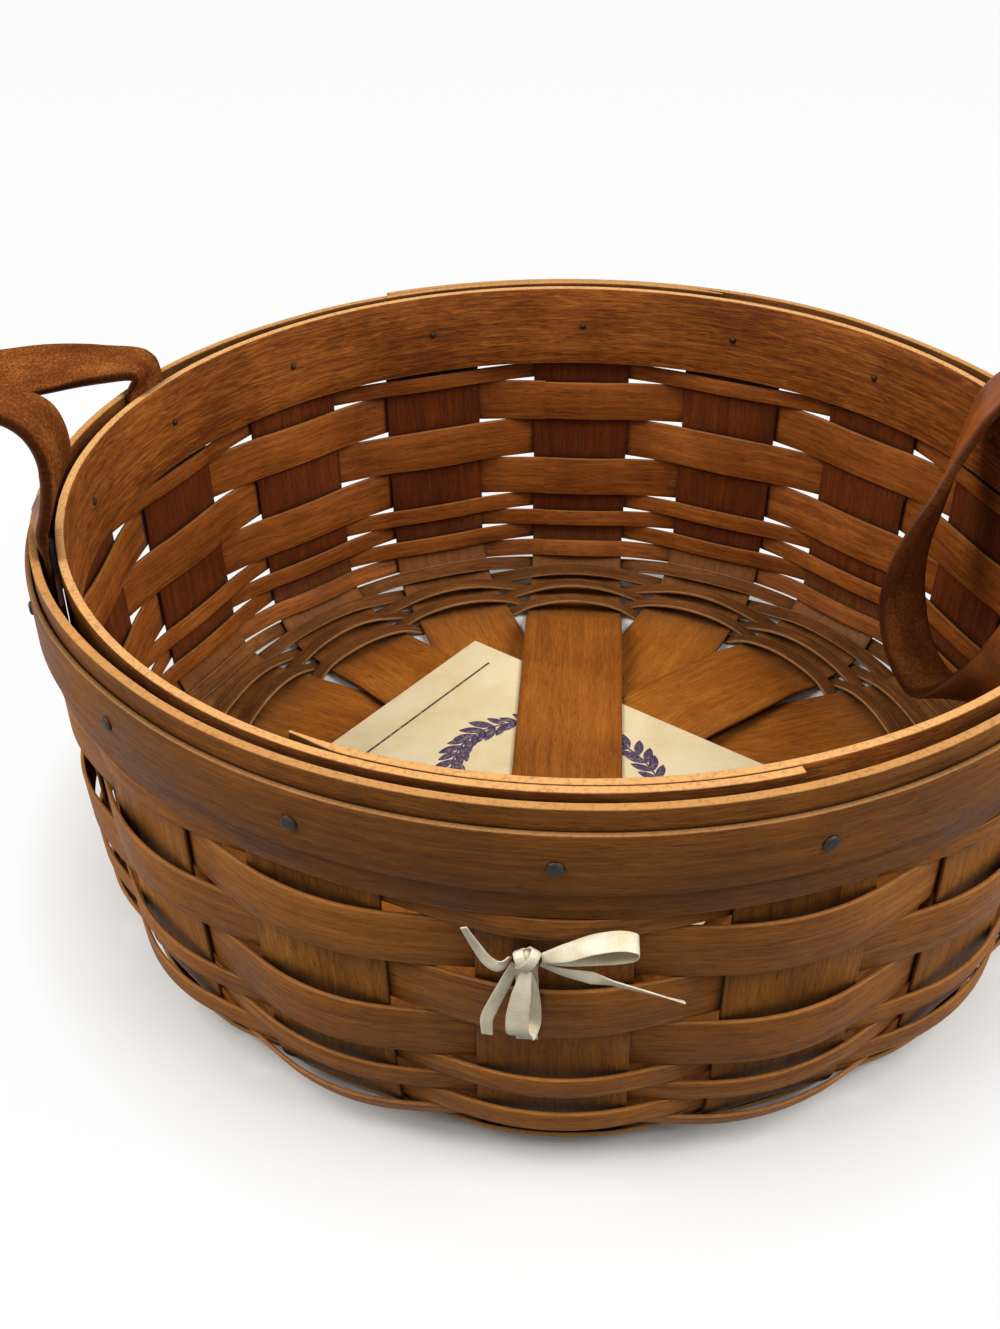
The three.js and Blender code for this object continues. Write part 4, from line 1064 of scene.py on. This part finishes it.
def make_copies(name, shape, points, turns, sizes, material):
    """Copies of a shape at points in millimetres, joined in one object. The shape itself goes."""
    mesh = bpy.data.meshes.new(name)
    mesh.from_pydata((np.array(points) * MM).tolist(), [], [])
    mesh.attributes.new("turn", "FLOAT_VECTOR", "POINT").data.foreach_set("vector", np.array(turns).ravel())
    mesh.attributes.new("size", "FLOAT", "POINT").data.foreach_set("value", np.array(sizes))
    thing = new_object(name, mesh)
    made_real(thing, copies_tree(shape), {"Size": 1.0, "Material": material})
    bpy.data.objects.remove(shape)
    return thing


def make_tack_set(name, shape, radii, facing):
    bearings = [i * UPRIGHT_STEP for i in range(UPRIGHT_COUNT)]
    height = np.array([0, 0, RIM_HEIGHT - TACK_DROP])
    points = [outward(b) * r + height for b, r in zip(bearings, radii)]
    turns = []
    for bearing in bearings:
        spin = Quaternion((0, 0, 1), random.uniform(0, math.tau))
        aim = Vector(outward(bearing) * facing).to_track_quat("Z", "Y")
        turns.append(list((aim @ spin).to_euler()))
    return make_copies(name, shape, points, turns, random.uniform(0.93, 1.05, UPRIGHT_COUNT), STEEL)


def make_tacks():
    bearings = np.array([i * UPRIGHT_STEP for i in range(UPRIGHT_COUNT)])
    seat = outer_band_outside(bearings) + CLEARANCE + TRIM_THICKNESS
    r = TACK_HEAD_DIAMETER / 2
    h = TACK_HEAD_HEIGHT
    head = [(0, -1.2), (0.6, -1.2), (0.65, -0.1), (r * 0.9, -0.1), (r, 0.1), (r * 0.97, 0.28)]
    head += [(r * 0.8, h * 0.72), (r * 0.5, h * 0.92), (r * 0.42, h * 0.9), (0, h * 0.94)]
    heads = make_tack_set("tack_heads", lathe("tack_head", head, 20, STEEL), seat, 1)
    dress(heads, "tack_steel", *[f"tack_{i + 1}" for i in range(UPRIGHT_COUNT)])
    # The points come out of the inner band and are hammered flat
    point = [(0, -1.5), (0.7, -1.5), (0.75, 0), (1.0, 0.12), (0.8, 0.4), (0.35, 0.6), (0, 0.6)]
    lap, ease = lap_angles(INNER_LAP_LENGTH, INNER_BAND_INSIDE)
    from_lap = (bearings - INNER_LAP_BEARING + 180) % 360 - 180
    stepped = np.where(from_lap > lap / 2, 0, smooth_step((from_lap + lap / 2 + ease) / ease))
    inside = INNER_BAND_INSIDE + LAP_STEP * (1 - stepped)
    points = make_tack_set("tack_points", lathe("tack_point", point, 14, STEEL), inside, -1)
    dress(points, "tack_steel")


# Ribbon bow


def ribbon_piece(name, stops, closed=False):
    """A length of ribbon through stops of place (across, out of the wall, up), way across and fold."""
    if closed:
        stops = stops + stops[:1]
    places = [BOW_MIDDLE + np.array([x, -y, z]) for (x, y, z), _, _ in stops]
    across = [np.array([x, -y, z]) for _, (x, y, z), _ in stops]
    fold = between_stops([share for _, _, share in stops], RIBBON_STEPS)
    path = curve_through(places, RIBBON_STEPS)
    out = np.cross(between_stops(across, RIBBON_STEPS), tangents(path))
    return strip(name, path, out, RIBBON_WIDTH, RIBBON_THICKNESS, RIBBON_EDGE, RIBBON, fold)


# Stops of the bow's loops and tails, as ribbon_piece takes them
BOW_LOOP_RIGHT = [
    ((2.9, 0, 0.6), (0, -0.3, 1), 0.55),
    ((7, 0.5, 2.6), (-0.05, -0.75, 0.65), 0.2),
    ((12.5, 0.8, 5.5), (-0.1, -0.92, 0.35), 0.02),
    ((17.5, 0.8, 6.6), (-0.1, -0.95, 0.3), 0),
    ((20.2, 0.5, 5.6), (-0.05, -0.95, 0.3), 0),
    ((20, 0, 3.6), (0, -0.95, 0.3), 0),
    ((17, -0.2, 2.3), (0, -0.95, 0.3), 0.02),
    ((12.5, -0.3, 1.4), (-0.05, -0.92, 0.35), 0.1),
    ((7, -0.1, 0.6), (-0.05, -0.75, 0.65), 0.35),
]
BOW_LOOP_DOWN = [
    ((0, 0.6, -2.7), (1, 0, 0), 0.5),
    ((-0.8, 2.1, -7.3), (0.95, 0.1, 0), 0.1),
    ((-1.5, 3.1, -12.4), (0.95, 0.15, 0), -0.05),
    ((-1.3, 3.4, -16.1), (0.97, 0.15, 0.05), -0.1),
    ((-0.4, 2.1, -17.8), (1, 0.1, 0.05), -0.1),
    ((0.6, 0.8, -16.1), (1, 0.1, 0.05), -0.05),
    ((0.8, 0.6, -12.4), (1, 0.1, 0), 0),
    ((0.5, 0.4, -7.3), (1, 0.1, 0), 0.1),
]
BOW_TAIL_LEFT = [
    ((-3, -0.4, 0.2), (0.5, 0, 0.8), 0.6),
    ((-5, 0.4, -1.5), (0.5, -0.3, 0.8), 0.45),
    ((-6.9, 0.8, 0), (0.7, -0.3, 0.6), 0.5),
    ((-9.2, 0.8, 4), (0.85, 0.1, 0.4), 0.55),
    ((-11.3, 1, 8.6), (0.9, 0.2, 0.3), 0.68),
]
BOW_TAIL_DOWN = [
    ((-2.1, -0.8, -1.9), (0.8, 0, -0.6), 0.6),
    ((-3.9, -0.6, -6.7), (0.9, 0, -0.4), 0.45),
    ((-6.5, -0.4, -13.4), (0.9, 0.1, -0.3), 0.4),
    ((-7.5, 0, -16.4), (0.95, 0.2, -0.1), 0.4),
    ((-7.4, 0.4, -20), (0.95, 0.2, 0), 0.45),
]
BOW_TAIL_RIGHT = [
    ((2.6, -0.6, -1.6), (0, 0.3, 1), 0.7),
    ((6.7, 0.2, -2.5), (0, 0.1, 1), 0.5),
    ((12.1, 1.2, -2.7), (0, -0.3, 0.9), 0.4),
    ((15.9, 1.4, -3.6), (0, 0.3, 0.9), 0.55),
    ((22.6, 2.1, -5), (0, 0.5, 0.8), 0.6),
    ((29.3, 2.5, -6.7), (0, 0.7, 0.5), 0.55),
]


def make_bow():
    for name, stops in (("bow_loop_right", BOW_LOOP_RIGHT), ("bow_loop_down", BOW_LOOP_DOWN)):
        dress(ribbon_piece(name + "_satin", stops, closed=True), "ribbon_satin", name)
    tails = (("bow_tail_left", BOW_TAIL_LEFT), ("bow_tail_down", BOW_TAIL_DOWN))
    for name, stops in tails + (("bow_tail_right", BOW_TAIL_RIGHT),):
        dress(ribbon_piece(name + "_satin", stops), "ribbon_satin", name)
    make_knot()
    make_turn()


def make_knot():
    """The knot: a pulled lump of ribbon, with two wraps of it that cross over the front."""
    rows = 20
    sides = 48
    vertices = []
    for i in range(rows + 1):
        polar = math.pi * (i + 0.02) / (rows + 0.04)
        for j in range(sides):
            a = math.tau * j / sides
            pleat = 1 + 0.07 * math.cos(7 * a + 3 * polar) * math.sin(polar)
            x = KNOT_SIZE[0] * math.sin(polar) * math.cos(a) * pleat
            y = KNOT_SIZE[1] * math.sin(polar) * math.sin(a) * pleat
            z = KNOT_SIZE[2] * math.cos(polar)
            vertices.append(BOW_MIDDLE + np.array([x, y, z]))
    faces = []
    for i in range(rows):
        for j in range(sides):
            k = (j + 1) % sides
            faces.append((i * sides + j, (i + 1) * sides + j, (i + 1) * sides + k, i * sides + k))
    faces.append(tuple(range(sides)))
    faces.append(tuple(range(rows * sides, (rows + 1) * sides))[::-1])
    piece = mesh_object("bow_knot_satin", vertices, faces, RIBBON)
    point_outwards(piece.data)
    dress(piece, "ribbon_satin", "bow_knot")
    for name, shift, lean, size in (("bow_wrap_over", 0.3, 0.7, 1), ("bow_wrap_under", -0.5, -0.55, 0.88)):
        stops = []
        for i in range(8):
            a = math.tau * i / 8
            up = 2.2 * size * math.cos(a)
            stops.append(((shift + lean * up, 1.7 * size * math.sin(a), up), (1, 0, -lean), 0.5))
        dress(ribbon_piece(name + "_satin", stops, closed=True), "ribbon_satin")


def make_turn():
    """The turn of ribbon round the second wide weaver, pulled up behind the knot."""
    low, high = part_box("bow_turn")
    low = np.array(low) / MM
    high = np.array(high) / MM
    front = low[1] + RIBBON_THICKNESS / 2
    back = high[1] - RIBBON_THICKNESS / 2
    stops = [
        (front + 0.3, high[2] - 2),
        (front, high[2] - 7),
        (front, (low[2] + high[2]) / 2 - 3),
        (front + 0.3, low[2] + 1),
        ((front + back) / 2, low[2] + 0.2),
        (back - 0.3, low[2] + 1),
        (back, (low[2] + high[2]) / 2 - 3),
        (back - 0.2, high[2] - 8),
        (front + 1, high[2] - 1.4),
        (front + 0.3, high[2] - 2),
    ]
    path = curve_through([np.array([BOW_MIDDLE[0], y, z]) for y, z in stops], TURN_STEPS)
    out = np.cross(np.array([1.0, 0, 0]), tangents(path))
    pinch = 0.6 * smooth_step((path[:, 2] - BOW_MIDDLE[2] + 6) / 5)
    piece = strip("bow_turn_satin", path, out, RIBBON_WIDTH, RIBBON_THICKNESS, TURN_EDGE, RIBBON, pinch)
    dress(piece, "ribbon_satin", "bow_turn")


# Card


def on_card(x, y, z):
    a = math.radians(CARD_TURN)
    return (
        CARD_CENTRE[0] + x * math.cos(a) - y * math.sin(a),
        CARD_CENTRE[1] + x * math.sin(a) + y * math.cos(a),
        z,
    )


def make_card():
    columns = 40
    rows = 28
    vertices = []
    for z in (CARD_LEVEL, CARD_LEVEL + CARD_THICKNESS):
        for j in range(rows + 1):
            for i in range(columns + 1):
                x = CARD_SIZE[0] * (i / columns - 0.5)
                y = CARD_SIZE[1] * (j / rows - 0.5)
                vertices.append(on_card(x, y, z))
    across = columns + 1
    layer = across * (rows + 1)
    faces = []
    for j in range(rows):
        for i in range(columns):
            a = j * across + i
            faces.append((a, a + across, a + across + 1, a + 1))
            faces.append((layer + a, layer + a + 1, layer + a + across + 1, layer + a + across))
    rim = list(range(across))
    rim += [j * across + columns for j in range(1, rows + 1)]
    rim += [rows * across + i for i in range(columns - 1, -1, -1)]
    rim += [j * across for j in range(rows - 1, 0, -1)]
    for a, b in zip(rim, rim[1:] + rim[:1]):
        faces.append((a, b, layer + b, layer + a))
    piece = mesh_object("card_stock", vertices, faces, CARD_STOCK)
    for face in piece.data.polygons:
        face.use_smooth = False
    point_outwards(piece.data)
    dress(piece, "card_paper", "paper_card")


def ink_line(name, points, width, ink):
    """A printed line on the card through points in the card's own plane."""
    level = CARD_LEVEL + CARD_THICKNESS + INK_THICKNESS
    path = np.array([on_card(x, y, level) for x, y in points])
    up = np.tile([0.0, 0, 1], (len(path), 1))
    dress(strip(name, path, up, width, INK_THICKNESS, INK_THICKNESS / 4, ink), "card_paper")


def leaf_shape():
    """A flat printed leaf that points along X from its stalk."""
    share = np.linspace(0, 1, 9)
    half = LEAF_WIDTH / 2 * np.sin(share * math.pi) ** 0.8
    upper = np.stack([share * LEAF_LENGTH, half], axis=1)
    outline = np.vstack([upper, upper[-2:0:-1] * [1, -1]])
    count = len(outline)
    vertices = [(x, y, z) for z in (0, INK_THICKNESS) for x, y in outline]
    faces = [tuple(range(count))[::-1], tuple(range(count, 2 * count))]
    for i in range(count):
        j = (i + 1) % count
        faces.append((i, j, count + j, count + i))
    return mesh_object("leaf", vertices, faces, PURPLE_INK)


def make_print():
    """A plain rule inside each short side of the card and a wreath of leaves in the middle."""
    heights = np.linspace(-RULE_LENGTH / 2, RULE_LENGTH / 2, 9)
    for name, x in (("card_rule_left", -RULE_PLACE), ("card_rule_right", RULE_PLACE)):
        ink_line(name, [(x, y) for y in heights], RULE_WIDTH, RULE_INK)
    around = np.linspace(0, math.tau, WREATH_STEPS + 1)
    wreath = np.stack([np.cos(around), np.sin(around)], axis=1) * np.array(WREATH_SIZE) / 2
    ink_line("card_wreath_stem", wreath, STEM_WIDTH, PURPLE_INK)
    points = []
    turns = []
    lift = CARD_LEVEL + CARD_THICKNESS + INK_THICKNESS / 2
    for i in range(0, WREATH_STEPS, 2):
        run = wreath[i + 1] - wreath[i]
        heading = math.atan2(run[1], run[0]) + math.radians(CARD_TURN)
        for lean in (LEAF_LEAN, -LEAF_LEAN):
            points.append(on_card(*wreath[i], lift))
            turns.append((0, 0, heading + math.radians(lean + random.uniform(-9, 9))))
    sizes = random.uniform(0.8, 1.15, len(points))
    leaves = make_copies("card_wreath_leaves", leaf_shape(), points, turns, sizes, PURPLE_INK)
    dress(leaves, "card_paper")


# Camera, light and floor


def make_camera():
    """The photograph's viewpoint: in front, above the rim, looking down into the basket."""
    yaw, pitch, roll = (math.radians(a) for a in CAMERA_ANGLES)
    ahead = math.cos(pitch)
    forward = Vector((math.sin(yaw) * ahead, math.cos(yaw) * ahead, -math.sin(pitch)))
    level = Vector((math.cos(yaw), -math.sin(yaw), 0))
    above = level.cross(forward)
    right = level * math.cos(roll) + above * math.sin(roll)
    up = above * math.cos(roll) - level * math.sin(roll)
    camera = bpy.data.cameras.new("photo_camera")
    camera.sensor_width = SENSOR_WIDTH
    camera.lens = SENSOR_WIDTH * FOCAL_LENGTH / PICTURE_HEIGHT
    camera.clip_start = 0.01
    thing = new_object("photo_camera", camera)
    turn = Matrix((right, up, -forward)).transposed().to_4x4()
    thing.matrix_world = Matrix.Translation([c * MM for c in CAMERA_PLACE]) @ turn
    bpy.context.scene.camera = thing


def make_area_light(name, place, watts):
    light = bpy.data.lights.new(name, "AREA")
    light.shape = "DISK"
    light.size = LIGHT_SIZE
    light.energy = watts
    thing = new_object(name, light)
    aim = (Vector(LIGHT_AIM) - Vector(place)).to_track_quat("-Z", "Y")
    thing.matrix_world = Matrix.Translation(place) @ aim.to_matrix().to_4x4()


def seen_share(tree):
    """1 where the background is looked at, straight or in a reflection, and 0 where it only lights."""
    rays = add(tree, "ShaderNodeLightPath").outputs
    seen = maths(tree, "MAXIMUM", rays["Is Camera Ray"], rays["Is Glossy Ray"])
    return maths(tree, "MAXIMUM", seen, rays["Is Transmission Ray"])


def make_world():
    """An even white sky, which looks brighter than it lights."""
    world = bpy.data.worlds.new("studio")
    bpy.context.scene.world = world
    world.use_nodes = True
    tree = world.node_tree
    tree.nodes.clear()
    level = ranged(tree, seen_share(tree), 0, 1, SKY_LIGHT, 1.0)
    light = {"Color": linear("#ffffff"), "Strength": level}
    sky = add(tree, "ShaderNodeBackground", light).outputs[0]
    add(tree, "ShaderNodeOutputWorld", {"Surface": sky})


def make_floor():
    """White paper that glows past the basket, and keeps its shadow below and beside it."""
    material, tree = new_material("white_paper_floor")
    lit = add(tree, "ShaderNodeBsdfDiffuse", {"Color": linear("#d2cfca")}).outputs[0]
    light = {"Color": linear("#ffffff"), "Strength": seen_share(tree)}
    glow = add(tree, "ShaderNodeEmission", light).outputs[0]
    open_floor = ranged(tree, from_axis(tree, object_place(tree)), 0.115, 0.15, 0.0, 0.95)
    share = add(tree, "ShaderNodeMixShader", {"Fac": open_floor, 1: lit, 2: glow}).outputs[0]
    add(tree, "ShaderNodeOutputMaterial", {"Surface": share})
    signs = ((-1, -1), (1, -1), (1, 1), (-1, 1))
    corners = [(x * FLOOR_REACH, y * FLOOR_REACH, -FLOOR_DROP) for x, y in signs]
    floor = mesh_object("floor", corners, [(0, 1, 2, 3)], material)


def make_stage():
    make_world()
    make_floor()
    make_area_light("left_light", (-0.8, -0.22, 0.98), 14.5)
    make_area_light("right_light", (0.8, -0.22, 0.98), 15.5)
    make_area_light("front_light", (0, -1.1, 0.8), 2)
    bpy.context.scene.view_settings.view_transform = "Standard"


make_camera()
make_stage()
make_splints()
make_weavers()
make_band(
    "inner_band",
    INNER_BAND_INSIDE,
    INNER_BAND_HEIGHT,
    INNER_LAP_LENGTH,
    INNER_LAP_BEARING,
    is_outer=False,
    wood=INNER_BAND_WOOD,
)
make_band(
    "outer_band",
    OUTER_BAND_INSIDE,
    OUTER_BAND_HEIGHT,
    OUTER_LAP_LENGTH,
    OUTER_LAP_BEARING,
    is_outer=True,
    wood=OUTER_BAND_WOOD,
)
make_trim()
make_straps()
make_tacks()
make_bow()
make_card()
make_print()
